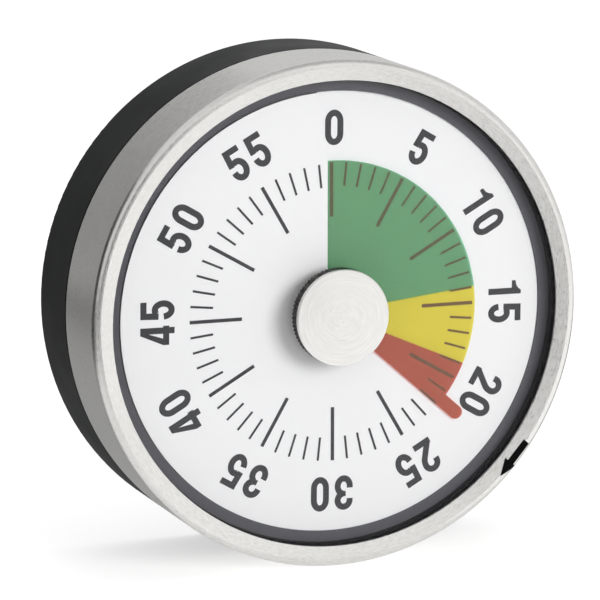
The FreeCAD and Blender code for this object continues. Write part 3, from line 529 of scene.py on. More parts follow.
@dataclass(frozen=True)
class Surfaces:
    """Every finish of the timer."""
    steel: Finish = BrushedMetal(
        "brushed_steel", linear(205, 204, 201), 0.31, line=0.16 * MM, run=0.025, stretch=0.0,
        depth=0.006 * MM, cloud=0.1)
    cap: Finish = BrushedMetal(
        "turned_cap_steel", linear(219, 218, 215), 0.36, line=0.3 * MM, run=0.6, stretch=0.0, cloud=0.07)
    base: Finish = MouldedPlastic("satin_black_plastic", linear(27, 28, 29), 0.55, gloss=0.15)
    knob: Finish = MouldedPlastic(
        "knob_black_plastic", linear(28, 24, 22), 0.45, grain=0.15 * MM, gloss=0.3)
    hub: Finish = MouldedPlastic("hub_grey_plastic", linear(150, 150, 148), 0.45)
    carrier: Finish = MouldedPlastic("carrier_white_plastic", linear(214, 214, 210), 0.5)
    frame: Finish = FramePlastic(
        "frame_black_plastic", linear(22, 22, 24), 0.5, grain=0.2 * MM, gloss=0.2,
        flat=linear(91, 91, 96), flat_level=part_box("lens_frame")[0].y + FLAT_RING_DEPTH)
    dial: Finish = CoatedCard("dial_white", linear(243, 243, 244), 0.6)
    ink: Finish = Ink("dial_grey_ink", linear(60, 60, 63), 0.6)
    arrow_ink: Finish = Ink("arrow_black_ink", linear(6, 6, 7), 0.6, gloss=0.05)
    green: Finish = TintedFilm("film_green_tint", (1.0, 0.57, 0.40), 0.4, tint=(0.42, 0.81, 0.67))
    yellow: Finish = TintedFilm("film_yellow_tint", (0.70, 0.33, 0.50), 0.4, tint=(0.99, 0.99, 0.34))
    red: Finish = TintedFilm("film_red_tint", (0.95, 0.90, 0.60), 0.4, tint=(0.81, 0.28, 0.28))
    window: Finish = ClearWindow("clear_window", (1.0, 1.0, 1.0), 0.03)
    magnet: Finish = PressedCeramic("ferrite", linear(62, 62, 64), 0.6)
    zinc: Finish = BrushedMetal("zinc_screw", linear(188, 188, 182), 0.35, run=0.6, stretch=0.0)
    plate: Finish = BrushedMetal(
        "plate_steel", linear(176, 177, 178), 0.4, line=0.3 * MM, run=0.5, stretch=0.2)
    arbor: Finish = BrushedMetal(
        "arbor_steel", linear(186, 187, 190), 0.2, line=0.08 * MM, run=2.0, stretch=0.0)
    spring: Finish = BrushedMetal(
        "spring_steel", linear(92, 100, 118), 0.28, line=0.2 * MM, run=3.0, stretch=0.0)
    brass: Finish = BrushedMetal(
        "movement_brass", linear(214, 176, 98), 0.3, line=0.15 * MM, run=0.8, stretch=0.2)
    bell: Finish = BrushedMetal(
        "bell_steel", linear(198, 199, 202), 0.16, line=0.1 * MM, run=1.2, stretch=0.3)


SURFACES = Surfaces()

NODE_FINISHES: dict[str, tuple[str, ...]] = {
    "base": ("base_cup",),
    "magnet": ("back_magnet",),
    "zinc": ("case_screws", "plate_screws", "bell_screw"),
    "plate": ("rear_plate", "front_plate", "hammer_arm", "release_lever", "balance_bar"),
    "arbor": (
        "main_arbor", "second_arbor", "third_arbor", "escape_arbor", "pallet_arbor", "hammer_arbor",
        "pallet_pins", "spring_post", "hammer_head", "release_cam"),
    "spring": ("mainspring", "arbor_clip"),
    "brass": (
        "arbor_bushes", "plate_pillars", "bell_stud", "great_wheel", "second_wheel", "third_wheel",
        "escape_wheel", "pallet_lever"),
    "bell": ("bell_cup",),
    "carrier": ("dial_carrier",),
    "dial": ("dial",),
    "hub": ("film_hub",),
    "green": ("film_green",),
    "yellow": ("film_yellow",),
    "red": ("film_red",),
    "steel": ("steel_ring",),
    "frame": ("lens_frame",),
    "window": ("lens",),
    "knob": ("knob_core",),
    "cap": ("knob_cap",),
}


@dataclass(frozen=True)
class ScrewSurface:
    """The shallow screw that the dial is sprung into.

    Attributes:
        pitch: Rise of one turn in metres.
        upper_end: Angle of the dial's raised end, in degrees clockwise from the 0.
    """
    pitch: float = 1.0 * MM
    upper_end: float = 359.5

    @cached_property
    def start(self) -> float:
        """Distance of the dial's face in front of the back, at its 0."""
        return -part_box("dial")[0].y - self.pitch * self.upper_end / FULL_TURN

    def depth(self, clockwise: float) -> float:
        """Distance of the dial's face in front of the back, at an angle."""
        return self.start + self.pitch * clockwise / FULL_TURN


class TickTree:
    """Geometry tree that prints the minute ticks round the dial."""

    INPUTS: tuple[tuple[str, str], ...] = (
        ("Ticks", "NodeSocketInt"),
        ("Long Every", "NodeSocketInt"),
        ("Outer Radius", "NodeSocketFloat"),
        ("Long Length", "NodeSocketFloat"),
        ("Short Length", "NodeSocketFloat"),
        ("Long Width", "NodeSocketFloat"),
        ("Short Width", "NodeSocketFloat"),
        ("Ink Height", "NodeSocketFloat"),
        ("Screw Start", "NodeSocketFloat"),
        ("Screw Pitch", "NodeSocketFloat"),
        ("Ink", "NodeSocketMaterial"),
    )

    def __init__(self) -> None:
        """Make the tree, its named inputs and its nodes."""
        self.tree = bpy.data.node_groups.new("minute_ticks", "GeometryNodeTree")
        self.sockets = {
            name: self.tree.interface.new_socket(name, in_out="INPUT", socket_type=kind).identifier
            for name, kind in self.INPUTS}
        self.tree.interface.new_socket("Geometry", in_out="OUTPUT", socket_type="NodeSocketGeometry")
        self.bench = NodeBench(self.tree)
        self._build()

    def _pick(self, test: bpy.types.NodeSocket, usual: object, special: object) -> bpy.types.NodeSocket:
        """One of two values, by a test."""
        switch = self.bench.add("GeometryNodeSwitch", input_type="FLOAT")
        self.bench.feed(switch.inputs["Switch"], test)
        self.bench.feed(switch.inputs["False"], usual)
        self.bench.feed(switch.inputs["True"], special)
        return switch.outputs[0]

    def _build(self) -> None:
        """One bar for each minute, longer and wider at every fifth."""
        bench = self.bench
        given = bench.add("NodeGroupInput").outputs
        index = bench.add("GeometryNodeInputIndex").outputs[0]
        turn = bench.math("DIVIDE", index, given["Ticks"])
        angle = bench.math("MULTIPLY", turn, math.tau)
        remainder = bench.math("MODULO", index, given["Long Every"])
        is_long = bench.math("LESS_THAN", remainder, 0.5)
        length = self._pick(is_long, given["Short Length"], given["Long Length"])
        width = self._pick(is_long, given["Short Width"], given["Long Width"])
        middle = bench.math("SUBTRACT", given["Outer Radius"], bench.math("DIVIDE", length, 2.0))
        front = bench.math("ADD", given["Screw Start"], bench.math("MULTIPLY", turn, given["Screw Pitch"]))
        place = bench.triple(
            bench.math("MULTIPLY", bench.math("SINE", angle), middle),
            bench.math("MULTIPLY", front, -1.0),
            bench.math("MULTIPLY", bench.math("COSINE", angle), middle))
        points = bench.add("GeometryNodePoints")
        bench.feed(points.inputs["Count"], given["Ticks"])
        bench.feed(points.inputs["Position"], place)
        bar = bench.add("GeometryNodeMeshCube")
        spread = bench.add("GeometryNodeInstanceOnPoints")
        bench.feed(spread.inputs["Points"], points.outputs[0])
        bench.feed(spread.inputs["Instance"], bar.outputs["Mesh"])
        rotation = bench.add("FunctionNodeEulerToRotation")
        bench.feed(rotation.inputs[0], bench.triple(0.0, angle, 0.0))
        bench.feed(spread.inputs["Rotation"], rotation.outputs[0])
        bench.feed(spread.inputs["Scale"], bench.triple(
            width, bench.math("MULTIPLY", given["Ink Height"], 2.0), length))
        real = bench.add("GeometryNodeRealizeInstances")
        bench.feed(real.inputs[0], spread.outputs[0])
        inked = bench.add("GeometryNodeSetMaterial")
        bench.feed(inked.inputs["Geometry"], real.outputs[0])
        bench.feed(inked.inputs["Material"], given["Ink"])
        result = bench.add("NodeGroupOutput")
        bench.feed(result.inputs["Geometry"], inked.outputs[0])


def plain_mesh_object(name: str, tree: bpy.types.NodeTree, values: dict[str, object]) -> bpy.types.Object:
    """Object whose mesh is the frozen result of a geometry tree.

    Args:
        name: Name of the piece.
        tree: The geometry tree.
        values: Input values by socket identifier.

    Returns:
        The linked object, with no modifier left on it.
    """
    mould = bpy.data.objects.new(name + "_mould", bpy.data.meshes.new(name + "_mould"))
    bpy.context.scene.collection.objects.link(mould)
    modifier = mould.modifiers.new("tree", "NODES")
    modifier.node_group = tree
    for identifier, value in values.items():
        modifier[identifier] = value
    graph = bpy.context.evaluated_depsgraph_get()
    mesh = bpy.data.meshes.new_from_object(mould.evaluated_get(graph))
    mould.modifiers.remove(modifier)
    bpy.data.objects.remove(mould)
    mesh.name = name
    made = bpy.data.objects.new(name, mesh)
    bpy.context.scene.collection.objects.link(made)
    return made


@dataclass
class Pen:
    """Draws a stroke of even width through lines and arcs.

    Attributes:
        width: Width of the stroke.
        step: Degrees between the points of an arc.
        points: The path that has been drawn so far.
    """
    width: float
    step: float = 10.0
    points: list[Point] = field(default_factory=list)

    def line(self, *ends: Point) -> "Pen":
        """Straight runs through the given points."""
        self.points.extend(ends)
        return self

    def arc(self, centre: Point, radii: Point, start: float, end: float) -> "Pen":
        """Part of an ellipse.

        Args:
            centre: Centre of the ellipse.
            radii: Half width and half height.
            start: First angle in degrees, counter-clockwise from the right.
            end: Last angle in degrees.

        Returns:
            The pen, for the next run.
        """
        count = max(2, math.ceil(abs(end - start) / self.step))
        for index in range(count + 1):
            angle = math.radians(start + (end - start) * index / count)
            self.points.append((
                centre[0] + radii[0] * math.cos(angle), centre[1] + radii[1] * math.sin(angle)))
        return self

    def quads(self, closed: bool = False) -> list[list[Point]]:
        """The stroke as a chain of four-cornered faces.

        Args:
            closed: True where the stroke ends where it started.

        Returns:
            The corners of each face.
        """
        path = [p for i, p in enumerate(self.points) if i == 0 or math.dist(p, self.points[i - 1]) > 1e-4]
        if closed and math.dist(path[0], path[-1]) < 1e-4:
            path.pop()
        count = len(path)
        sides: list[tuple[Point, Point]] = []
        for index, point in enumerate(path):
            before = path[index - 1] if closed or index > 0 else None
            after = path[(index + 1) % count] if closed or index < count - 1 else None
            sides.append(self._corners(before, point, after))
        last = count if closed else count - 1
        return [
            [sides[i][0], sides[(i + 1) % count][0], sides[(i + 1) % count][1], sides[i][1]]
            for i in range(last)]

    def _corners(self, before: Point | None, point: Point, after: Point | None) -> tuple[Point, Point]:
        """Left and right corner of the stroke at a point of its path."""
        here = Vector(point)
        runs = []
        if before is not None:
            runs.append((here - Vector(before)).normalized())
        if after is not None:
            runs.append((Vector(after) - here).normalized())
        normals = [Vector((-run.y, run.x)) for run in runs]
        mitre = sum(normals, Vector((0.0, 0.0))).normalized()
        reach = self.width / 2 / max(0.5, mitre.dot(normals[0]))
        left, right = here + mitre * reach, here - mitre * reach
        return (tuple(left), tuple(right))


@dataclass(frozen=True)
class DigitFace:
    """Bold narrow digits, drawn from strokes.

    Attributes:
        height: Height of a digit.
        stroke: Width of a stroke.
        width: Width of a round digit.
        gap: Gap between two digits.
    """
    height: float = 5.4 * MM
    stroke: float = 0.96 * MM
    width: float = 2.94 * MM
    gap: float = 0.95 * MM

    @property
    def half(self) -> float:
        """Half the width between the centres of the strokes."""
        return (self.width - self.stroke) / 2

    @property
    def top(self) -> float:
        """Height of the centre of a top stroke."""
        return self.height - self.stroke / 2

    def pen(self) -> Pen:
        """A fresh pen of this face's width."""
        return Pen(self.stroke)

    def zero(self) -> list[list[Point]]:
        """Upright oval with straight sides."""
        radii = (self.half, self.half * 1.3)
        low = self.stroke / 2 + radii[1]
        high = self.top - radii[1]
        return self.pen().arc((0, high), radii, 0, 180).arc((0, low), radii, 180, 360).quads(closed=True)

    def one(self) -> list[list[Point]]:
        """Stem with a curved flag."""
        right = self.half * 0.35 + self.stroke / 2
        left = right - self.stroke
        tip = left - 1.2 * self.stroke
        crown = left + 0.4 * self.stroke
        return [
            [(left, 0), (right, 0), (right, self.height), (left, self.height * 0.85)],
            [(tip, self.height * 0.72), (left + 0.1 * self.stroke, self.height * 0.72),
             (right, self.height), (crown, self.height), (left + 0.05 * self.stroke, self.height * 0.92),
             (left - 0.4 * self.stroke, self.height * 0.86), (tip, self.height * 0.83)]]

    def two(self) -> list[list[Point]]:
        """Hooked top, slanted neck and flat foot."""
        high = self.top - self.half
        foot = self.stroke / 2
        quads = self.pen().line((-self.half, high - 0.35 * self.half)).arc(
            (0, high), (self.half, self.half), 180, 0).arc(
            (-0.1 * self.half, high), (1.1 * self.half, 1.6 * self.half), 0, -40).line(
            (-self.half * 0.95, foot + 0.2 * self.stroke)).quads()
        return quads + self.pen().line((-self.width / 2, foot), (self.width / 2, foot)).quads()

    def three(self) -> list[list[Point]]:
        """Two open bowls that meet in the middle."""
        middle = self.height * 0.53
        top_radius = (self.top - middle) / 2
        low_radius = (middle - self.stroke / 2) / 2
        quads = self.pen().line((-self.half, self.top - top_radius * 1.25)).arc(
            (0, self.top - top_radius), (self.half, top_radius), 180, 0).arc(
            (0, self.top - top_radius), (self.half * 0.98, top_radius), 0, -78).quads()
        waist = ((-0.33 * self.half, middle), (0.35 * self.half, middle))
        quads += Pen(self.stroke * 0.86).line(*waist).quads()
        return quads + self.pen().arc(
            (0, middle - low_radius), (self.half, low_radius), 78, -180).line(
            (-self.half, self.stroke / 2 + low_radius * 1.25)).quads()

    def four(self) -> list[list[Point]]:
        """Slanted stroke, crossbar and stem."""
        edge = self.width / 2
        stem = self.half * 0.76
        bar = self.height * 0.245
        low = bar + self.stroke * 0.45
        quads = self.pen().line((stem, 0), (stem, self.height)).quads()
        quads += self.pen().line((-edge, bar), (edge, bar)).quads()
        return quads + [[
            (-edge, low), (-edge * 0.34, low), (stem - self.stroke / 2, self.height * 0.76),
            (stem, self.height), (0.05 * edge, self.height)]]

    def five(self) -> list[list[Point]]:
        """Flat top, short stem and open bowl."""
        left = -self.half * 0.98
        foot = self.height * 0.47
        radius = self.height * 0.245
        right = self.half + 0.3 * self.stroke
        quads = self.pen().line((left - self.stroke * 0.4, self.top), (right, self.top)).quads()
        quads += self.pen().line((left + 0.1 * self.stroke, self.top), (left, foot)).quads()
        return quads + self.pen().arc(
            (0, self.stroke / 2 + radius), (self.half, radius), 125, -176).quads()

    def digit(self, name: str) -> list[list[Point]]:
        """Faces of one digit, by its character."""
        makers = (self.zero, self.one, self.two, self.three, self.four, self.five)
        return makers[int(name)]()

    def advance(self, name: str) -> float:
        """Width that one digit takes."""
        return self.width * (0.9 if name == "1" else 1.0)

    def number(self, text: str) -> list[list[list[Point]]]:
        """Faces of each digit of a number, centred on its middle.

        Args:
            text: The digits.

        Returns:
            For each digit, its faces.
        """
        widths = [self.advance(name) for name in text]
        total = sum(widths) + self.gap * (len(text) - 1)
        cursor = -total / 2
        digits = []
        for name, width in zip(text, widths):
            shift = cursor + width / 2
            digits.append([[(x + shift, y) for x, y in quad] for quad in self.digit(name)])
            cursor += width + self.gap
        return digits


def merged_outline(faces: Sequence[Sequence[Point]]) -> tuple[list[Point], list[tuple[int, ...]]]:
    """Triangles that cover overlapping faces once.

    Args:
        faces: Corners of each face.

    Returns:
        The points and the triangles' point numbers.
    """
    corners: list[Vector] = []
    loops: list[list[int]] = []
    for face in faces:
        area = sum(
            face[i - 1][0] * face[i][1] - face[i][0] * face[i - 1][1] for i in range(len(face)))
        ordered = list(face) if area > 0 else list(reversed(face))
        loops.append(list(range(len(corners), len(corners) + len(ordered))))
        corners.extend(Vector(corner) / MM for corner in ordered)
    points, _, triangles, _, _, sources = delaunay_2d_cdt(corners, [], loops, 1, 1e-4)
    covered = [tuple(t) for t, faces_under in zip(triangles, sources) if faces_under]
    return [(p.x * MM, p.y * MM) for p in points], covered


class Print(ABC):
    """Flat print that follows a surface of the timer."""

    @abstractmethod
    def settle(self, across: float, out: float, height: float) -> Vector:
        """Point in the frame of a point of the drawing, lifted by a height."""

    def layer(self, shell: bmesh.types.BMesh, faces: Sequence[Sequence[Point]],
              height: float, cut: float) -> None:
        """Add a thin closed layer of ink to a mesh.

        Args:
            shell: The mesh.
            faces: Faces of the drawing.
            height: Height of the ink over the surface.
            cut: Longest edge before the ink is bent.
        """
        points, triangles = merged_outline(faces)
        flat = bmesh.new()
        verts = [flat.verts.new((x, y, 0.0)) for x, y in points]
        for triangle in triangles:
            flat.faces.new([verts[i] for i in triangle])
        for _ in range(3):
            long_edges = [e for e in flat.edges if e.calc_length() > cut]
            if long_edges:
                bmesh.ops.subdivide_edges(flat, edges=long_edges, cuts=1)
        bmesh.ops.triangulate(flat, faces=flat.faces[:])
        flat.verts.index_update()
        top = [shell.verts.new(self.settle(v.co.x, v.co.y, height)) for v in flat.verts]
        low = [shell.verts.new(self.settle(v.co.x, v.co.y, -height)) for v in flat.verts]
        for face in flat.faces:
            numbers = [v.index for v in face.verts]
            shell.faces.new([top[i] for i in numbers])
            shell.faces.new([low[i] for i in reversed(numbers)])
        for edge in flat.edges:
            if len(edge.link_faces) == 1:
                a, b = (v.index for v in edge.verts)
                shell.faces.new([top[a], low[a], low[b], top[b]])
        flat.free()


def object_from(name: str, shell: bmesh.types.BMesh, finish: Finish) -> bpy.types.Object:
    """Linked object from a mesh in the making.

    Args:
        name: Name of the piece.
        shell: The mesh, which is used up.
        finish: The piece's finish.

    Returns:
        The object, with outward faces.
    """
    bmesh.ops.recalc_face_normals(shell, faces=shell.faces[:])
    mesh = bpy.data.meshes.new(name)
    shell.to_mesh(mesh)
    shell.free()
    made = bpy.data.objects.new(name, mesh)
    bpy.context.scene.collection.objects.link(made)
    finish.put_on(made)
    return made


@dataclass
class DialPrint(Print):
    """Ticks and numbers on the dial.

    Attributes:
        ticks: Number of minute ticks.
        long_every: Every so many ticks, one is long.
        outer_radius: Outer end of the ticks.
        long_length: Length of a long tick.
        short_length: Length of a short tick.
        long_width: Width of a long tick.
        short_width: Width of a short tick.
        number_radius: Radius at the foot of the numbers.
        number_turn: Degrees that the numbers sit clockwise of their ticks.
        number_shift: How far the numbers' print sits right of and above the centre.
        ink_height: Height of the ink over the dial.
        edge_width: Width of the coated edge that closes the dial's rim.
        edge_gap: Gap from that edge to the turning frame.
        edge_start: Angle where that edge starts, in degrees clockwise from the 0.
        edge_end: Angle where it ends, at the other side of the slit.
        edge_steps: Number of its straight runs.
        edge_rise: Height of its face over the dial.
        edge_depth: How far it goes down behind the dial's face.
        frame_gap: Gap in the frame from the dial's rim to the turning frame.
        bend_length: Longest edge of the numbers before the ink is bent.
        screw: The surface that the print follows.
        digits: The face that the numbers are drawn in.
        clockwise: Angle of the number that is being drawn, in degrees.
    """
    ticks: int = 60
    long_every: int = 5
    outer_radius: float = 23.0 * MM
    long_length: float = 8.3 * MM
    short_length: float = 3.6 * MM
    long_width: float = 0.54 * MM
    short_width: float = 0.34 * MM
    number_radius: float = 25.55 * MM
    number_turn: float = 0.5
    number_shift: Point = (0.16 * MM, 0.05 * MM)
    ink_height: float = 0.035 * MM
    edge_width: float = 0.62 * MM
    edge_gap: float = 0.04 * MM
    edge_start: float = -4.1
    edge_end: float = 355.7
    edge_steps: int = 180
    edge_rise: float = 0.02 * MM
    edge_depth: float = 0.1 * MM
    frame_gap: float = 0.3 * MM
    bend_length: float = 2.0 * MM
    screw: ScrewSurface = field(default_factory=ScrewSurface)
    digits: DigitFace = field(default_factory=DigitFace)
    clockwise: float = 0.0

    def settle(self, across: float, out: float, height: float) -> Vector:
        """Point on the dial beside the number that is being drawn."""
        own = math.atan2(across, self.number_radius + out)
        radius = math.hypot(across, self.number_radius + out)
        angle = math.radians(self.clockwise) + own
        depth = self.screw.depth(self.clockwise + math.degrees(own)) + height
        return Vector((
            radius * math.sin(angle) + self.number_shift[0], -depth,
            radius * math.cos(angle) + self.number_shift[1]))

    def make_ticks(self) -> bpy.types.Object:
        """Minute ticks from their geometry tree."""
        tree = TickTree()
        values = {
            "Ticks": self.ticks, "Long Every": self.long_every, "Outer Radius": self.outer_radius,
            "Long Length": self.long_length, "Short Length": self.short_length,
            "Long Width": self.long_width, "Short Width": self.short_width,
            "Ink Height": self.ink_height, "Screw Start": self.screw.start,
            "Screw Pitch": self.screw.pitch, "Ink": SURFACES.ink.material()}
        made = plain_mesh_object(
            "dial_ticks", tree.tree, {tree.sockets[name]: value for name, value in values.items()})
        SURFACES.ink.put_on(made)
        return made

    def make_numbers(self) -> bpy.types.Object:
        """Numbers of the minutes, with their tops outwards."""
        shell = bmesh.new()
        for minute in range(0, self.ticks, self.long_every):
            self.clockwise = FULL_TURN * minute / self.ticks + self.number_turn
            for faces in self.digits.number(str(minute)):
                self.layer(shell, faces, self.ink_height, self.bend_length)
        return object_from("dial_numbers", shell, SURFACES.ink)

    def make_edge(self) -> bpy.types.Object:
        """Coated edge that follows the dial's rim from one side of the slit to the other."""
        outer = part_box("dial")[1].x + self.frame_gap - self.edge_gap
        inner = outer - self.edge_width
        rise, fall = self.edge_rise, -self.edge_depth
        section = ((inner, rise), (outer, rise), (outer, fall), (inner, fall))
        shell = bmesh.new()
        rings = []
        for step in range(self.edge_steps + 1):
            clockwise = self.edge_start + (self.edge_end - self.edge_start) * step / self.edge_steps
            angle = math.radians(clockwise)
            front = self.screw.depth(clockwise)
            rings.append([
                shell.verts.new((radius * math.sin(angle), -(front + height), radius * math.cos(angle)))
                for radius, height in section])
        for before, after in zip(rings, rings[1:]):
            for i in range(4):
                shell.faces.new([before[i], before[(i + 1) % 4], after[(i + 1) % 4], after[i]])
        shell.faces.new(rings[0])
        shell.faces.new(list(reversed(rings[-1])))
        return object_from("dial_edge", shell, SURFACES.dial)

    def build(self) -> None:
        """Make the print and fix it to the dial's body."""
        for piece in (self.make_ticks(), self.make_numbers(), self.make_edge()):
            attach(piece, Body.BASE.value)
            LOG.info("made %s with %d faces", piece.name, len(piece.data.polygons))


@dataclass
class BezelArrow(Print):
    """Printed arrow on the bezel, in line with the red pointer.

    Attributes:
        tail_angle: Angle of the tail, in degrees clockwise from the 0.
        tip_angle: Angle of the tip.
        head_angle: Angle where the head starts.
        radius: Radius of the arrow's middle.
        shaft_width: Width of the shaft.
        head_width: Width of the head.
        bezel_width: Width of the sloping face.
        slope: Rise of that face from its inner edge to the side wall.
        shoulder: Radius of the rounded shoulder.
        ink_height: Height of the ink over the steel.
        neck_lap: How far the shaft runs into the head.
        bend_length: Longest edge of the arrow before the ink is bent.
    """
    tail_angle: float = 125.2
    tip_angle: float = 135.4
    head_angle: float = 131.3
    radius: float = 37.72 * MM
    shaft_width: float = 1.1 * MM
    head_width: float = 2.25 * MM
    bezel_width: float = 3.15 * MM
    slope: float = 0.6 * MM
    shoulder: float = 1.0 * MM
    ink_height: float = 0.06 * MM
    neck_lap: float = 0.3 * MM
    bend_length: float = 0.45 * MM

    @cached_property
    def outer_radius(self) -> float:
        """Radius of the steel's side wall."""
        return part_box("steel_ring")[1].x

    @cached_property
    def front(self) -> float:
        """Distance of the steel's highest point in front of the back."""
        return -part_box("steel_ring")[0].y

    def face_depth(self, radius: float) -> float:
        """Distance of the steel's face in front of the back, at a radius."""
        lean = math.atan2(self.slope, self.bezel_width)
        centre_radius = self.outer_radius - self.shoulder
        centre_depth = self.front - self.shoulder
        touch = centre_radius - self.shoulder * math.sin(lean)
        if radius >= touch:
            off = min(self.shoulder, abs(radius - centre_radius))
            return centre_depth + math.sqrt(self.shoulder ** 2 - off ** 2)
        return centre_depth + self.shoulder * math.cos(lean) - (touch - radius) * math.tan(lean)

    def settle(self, across: float, out: float, height: float) -> Vector:
        """Point on the bezel beside the arrow's middle."""
        middle = math.radians((self.tail_angle + self.tip_angle) / 2)
        radius = math.hypot(across, self.radius + out)
        angle = middle + math.atan2(across, self.radius + out)
        depth = self.face_depth(radius) + height
        return Vector((radius * math.sin(angle), -depth, radius * math.cos(angle)))

    def along(self, angle: float) -> float:
        """Distance from the arrow's middle to an angle on the bezel."""
        middle = (self.tail_angle + self.tip_angle) / 2
        return self.radius * math.radians(angle - middle)

    def build(self) -> None:
        """Make the arrow and fix it to the turning front."""
        tail, neck, tip = (self.along(a) for a in (self.tail_angle, self.head_angle, self.tip_angle))
        shaft, head = self.shaft_width / 2, self.head_width / 2
        lap = neck + self.neck_lap
        shell = bmesh.new()
        self.layer(shell, [
            [(tail, -shaft), (lap, -shaft), (lap, shaft), (tail, shaft)],
            [(neck, -head), (tip, 0.0), (neck, head)]], self.ink_height, self.bend_length)
        arrow = object_from("bezel_arrow", shell, SURFACES.arrow_ink)
        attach(arrow, Body.FRONT.value)
        LOG.info("made %s with %d faces", arrow.name, len(arrow.data.polygons))


class CarriedNodes:
    """The frame's own pieces, which keep their shape and get their finishes."""

    def __init__(self, nodes: dict[str, bpy.types.Object]) -> None:
        """Keep the objects by node name."""
        self.nodes = nodes

    def build(self) -> None:
        """Dress every node in its finish."""
        for finish_name, names in NODE_FINISHES.items():
            for name in names:
                getattr(SURFACES, finish_name).put_on(self.nodes[name])
        pinions = [node for name, node in self.nodes.items() if name.endswith("_pinion")]
        SURFACES.arbor.put_on(*pinions)
        bare = [name for name, node in self.nodes.items() if not node.data.materials]
        LOG.info("dressed %d nodes, %d left bare", len(self.nodes), len(bare))


def stand_facing(piece: bpy.types.Object, place: Vector) -> None:
    """Put a lamp or a card in place, facing the timer."""
    turn = (LIT_POINT - place).to_track_quat("-Z", "Y")
    piece.matrix_world = Matrix.Translation(place) @ turn.to_matrix().to_4x4()


@dataclass(frozen=True)
class Lamp:
    """Soft rectangular lamp that faces the timer.

    Attributes:
        name: Name of the lamp.
        place: Its place in metres.
        size: Its width and height in metres.
        power: Its power in watts.
    """
    name: str
    place: Vector
    size: Point
    power: float

    def build(self) -> None:
        """Make the lamp."""
        data = bpy.data.lights.new(self.name, "AREA")
        data.shape = "RECTANGLE"
        data.size, data.size_y = self.size
        data.energy = self.power
        lamp = bpy.data.objects.new(self.name, data)
        lamp.visible_glossy = False
        bpy.context.scene.collection.objects.link(lamp)
        stand_facing(lamp, self.place)


@dataclass(frozen=True)
class Card:
    """Card that only reflections see, facing the timer.

    Attributes:
        name: Name of the card.
        place: Its place in metres.
        size: Its width and height in metres.
        tone: Its brightness in reflections.
    """
    name: str
    place: Vector
    size: Point
    tone: float

    def paint(self) -> bpy.types.Material:
        """Even glow of the card's tone."""
        made = bpy.data.materials.new(self.name + "_paint")
        made.use_nodes = True
        nodes = made.node_tree.nodes
        nodes.remove(nodes["Principled BSDF"])
        glow = nodes.new("ShaderNodeEmission")
        glow.inputs["Color"].default_value = (self.tone, self.tone, self.tone, 1.0)
        made.node_tree.links.new(glow.outputs[0], nodes["Material Output"].inputs["Surface"])
        return made

    def stand(self, card: bpy.types.Object) -> None:
        """Put the card in its place."""
        stand_facing(card, self.place)

    def build(self) -> None:
        """Make the card."""
        mesh = bpy.data.meshes.new(self.name)
        x, y = self.size[0] / 2, self.size[1] / 2
        mesh.from_pydata([(-x, -y, 0), (x, -y, 0), (x, y, 0), (-x, y, 0)], [], [(0, 1, 2, 3)])
        mesh.materials.append(self.paint())
        card = bpy.data.objects.new(self.name, mesh)
        bpy.context.scene.collection.objects.link(card)
        self.stand(card)
        for ray in ("camera", "diffuse", "transmission", "volume_scatter", "shadow"):
            setattr(card, "visible_" + ray, False)


@dataclass(frozen=True)
class LyingCard(Card):
    """Card that lies on the floor, whose place is measured from the floor.

    Attributes:
        turn: Degrees that the card is turned on the floor.
    """
    turn: float = 0.0

    def stand(self, card: bpy.types.Object) -> None:
        """Lay the card on the floor."""
        floor = Vector((0, 0, CAD_BOX[0][2]))
        card.matrix_world = Matrix.Translation(floor + self.place) @ Matrix.Rotation(
            math.radians(self.turn), 4, "Z")


LAMPS: tuple[Lamp, ...] = (
    Lamp("key_softbox", Vector((0.36, -0.72, 0.18)), (0.40, 0.36), 3.5),
    Lamp("top_softbox", Vector((0.1, 0.1, 0.9)), (0.7, 0.7), 2.0),
)

CARDS: tuple[Card, ...] = (
    Card("key_card", Vector((0.34, -0.95, 0.42)), (0.9, 0.9), 1.3),
    LyingCard("table_white_card", Vector((0.39, -0.47, 0.001)), (0.82, 0.86), 1.5),
    LyingCard("table_front_card", Vector((-0.173, -0.566, 0.002)), (0.56, 0.76), 0.14, turn=9.1),
    Card("front_dark_card", Vector((-0.14, -1.0, 0.15)), (0.5, 0.3), 0.12),
    LyingCard("table_grey_card", Vector((-0.4, 0.515, 0.001)), (1.2, 1.07), 0.43),
    LyingCard("table_dark_card", Vector((-0.61, 0.0, 0.002)), (0.98, 0.6), 0.05),
    Card("left_dark_card", Vector((-0.85, 0.3, 0.28)), (1.3, 0.7), 0.05),
    Card("back_grey_card", Vector((-0.54, 0.85, 0.28)), (1.8, 0.64), 0.4),
    Card("back_pale_card", Vector((0.5, 1.15, 0.28)), (0.6, 0.64), 0.75),
    Card("top_grey_card", Vector((0.25, 0.1, 1.0)), (1.2, 0.9), 0.65),
)


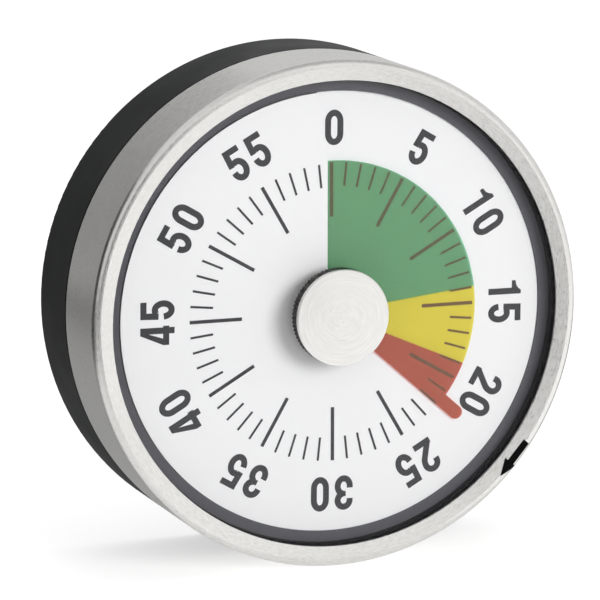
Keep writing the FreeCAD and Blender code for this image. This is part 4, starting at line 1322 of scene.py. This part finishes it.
@dataclass
class Studio:
    """Camera, world, floor, lamps and cards.

    Attributes:
        camera_azimuth: Direction of the camera round the timer, in degrees.
        camera_elevation: Angle of the camera above level, in degrees.
        camera_distance: Distance from the camera to its aim, in metres.
        camera_aim: Point at the middle of the view.
        focal_length: Focal length in mm of the lens.
        sensor_width: Width in mm of the sensor behind it.
        ambient: Light of the world on the surfaces.
        floor_reach: Distance from the middle of the floor to its edges, in metres.
        floor_tone: Share of light that the floor scatters.
        floor_glow: Light that the floor adds where it is seen directly.
    """
    camera_azimuth: float = -20.258
    camera_elevation: float = 10.728
    camera_distance: float = 680.0 * MM
    camera_aim: Vector = field(default_factory=lambda: Vector((2.811, -2.505, -2.152)) * MM)
    focal_length: float = 260.2
    sensor_width: float = 36.0
    ambient: float = 0.42
    floor_reach: float = 4.0
    floor_tone: float = 0.8
    floor_glow: float = 0.58

    def make_camera(self) -> None:
        """Camera at the photograph's angle, level with no roll."""
        data = bpy.data.cameras.new("camera")
        data.sensor_width = self.sensor_width
        data.lens = self.focal_length
        data.clip_start = 0.01
        camera = bpy.data.objects.new("camera", data)
        bpy.context.scene.collection.objects.link(camera)
        turn = Euler((math.radians(90 - self.camera_elevation), 0.0, math.radians(self.camera_azimuth)))
        backwards = turn.to_matrix() @ Vector((0, 0, 1))
        camera.matrix_world = Matrix.Translation(
            self.camera_aim + backwards * self.camera_distance) @ turn.to_matrix().to_4x4()
        bpy.context.scene.camera = camera

    def _seen_directly(self, bench: NodeBench) -> bpy.types.NodeSocket:
        """1 for rays from the camera, a mirror or glass, and 0 for others."""
        path = bench.add("ShaderNodeLightPath")
        seen = bench.math("MAXIMUM", path.outputs["Is Camera Ray"], path.outputs["Is Glossy Ray"])
        return bench.math("MAXIMUM", seen, path.outputs["Is Transmission Ray"])

    def make_world(self) -> None:
        """White world that lights the surfaces at a plain level."""
        world = bpy.data.worlds.new("studio_white")
        world.use_nodes = True
        bpy.context.scene.world = world
        bench = NodeBench(world.node_tree)
        background = world.node_tree.nodes["Background"]
        background.inputs["Color"].default_value = (1.0, 1.0, 1.0, 1.0)
        seen = self._seen_directly(bench)
        lit = bench.math("MULTIPLY", bench.math("SUBTRACT", 1.0, seen), self.ambient)
        bench.feed(background.inputs["Strength"], bench.math("ADD", seen, lit))

    def make_floor(self) -> None:
        """Pale floor that reads white and keeps the timer's shadow."""
        shell = bmesh.new()
        bmesh.ops.create_grid(shell, x_segments=8, y_segments=8, size=self.floor_reach)
        bmesh.ops.translate(shell, verts=shell.verts[:], vec=(0, 0, CAD_BOX[0][2]))
        mesh = bpy.data.meshes.new("floor")
        shell.to_mesh(mesh)
        shell.free()
        floor = bpy.data.objects.new("floor", mesh)
        bpy.context.scene.collection.objects.link(floor)
        paint = bpy.data.materials.new("floor_paint")
        paint.use_nodes = True
        bench = NodeBench(paint.node_tree)
        shader = paint.node_tree.nodes["Principled BSDF"]
        shader.inputs["Base Color"].default_value = (self.floor_tone,) * 3 + (1.0,)
        shader.inputs["Roughness"].default_value = 1.0
        shader.inputs["Specular IOR Level"].default_value = 0.0
        shader.inputs["Emission Color"].default_value = (1.0, 1.0, 1.0, 1.0)
        bench.feed(shader.inputs["Emission Strength"], bench.math(
            "MULTIPLY", self._seen_directly(bench), self.floor_glow))
        mesh.materials.append(paint)

    def build(self) -> None:
        """Set up the whole studio."""
        bpy.context.scene.view_settings.view_transform = "Standard"
        self.make_camera()
        self.make_world()
        self.make_floor()
        for piece in (*LAMPS, *CARDS):
            piece.build()
        LOG.info("studio ready with %d lamps and %d cards", len(LAMPS), len(CARDS))


def main() -> None:
    """Build the timer's looks and the studio."""
    logging.basicConfig(level=logging.INFO, format="%(name)s: %(message)s")
    Studio().build()
    CarriedNodes(frame["nodes"]).build()
    DialPrint().build()
    BezelArrow().build()


if __name__ == "__main__":
    main()
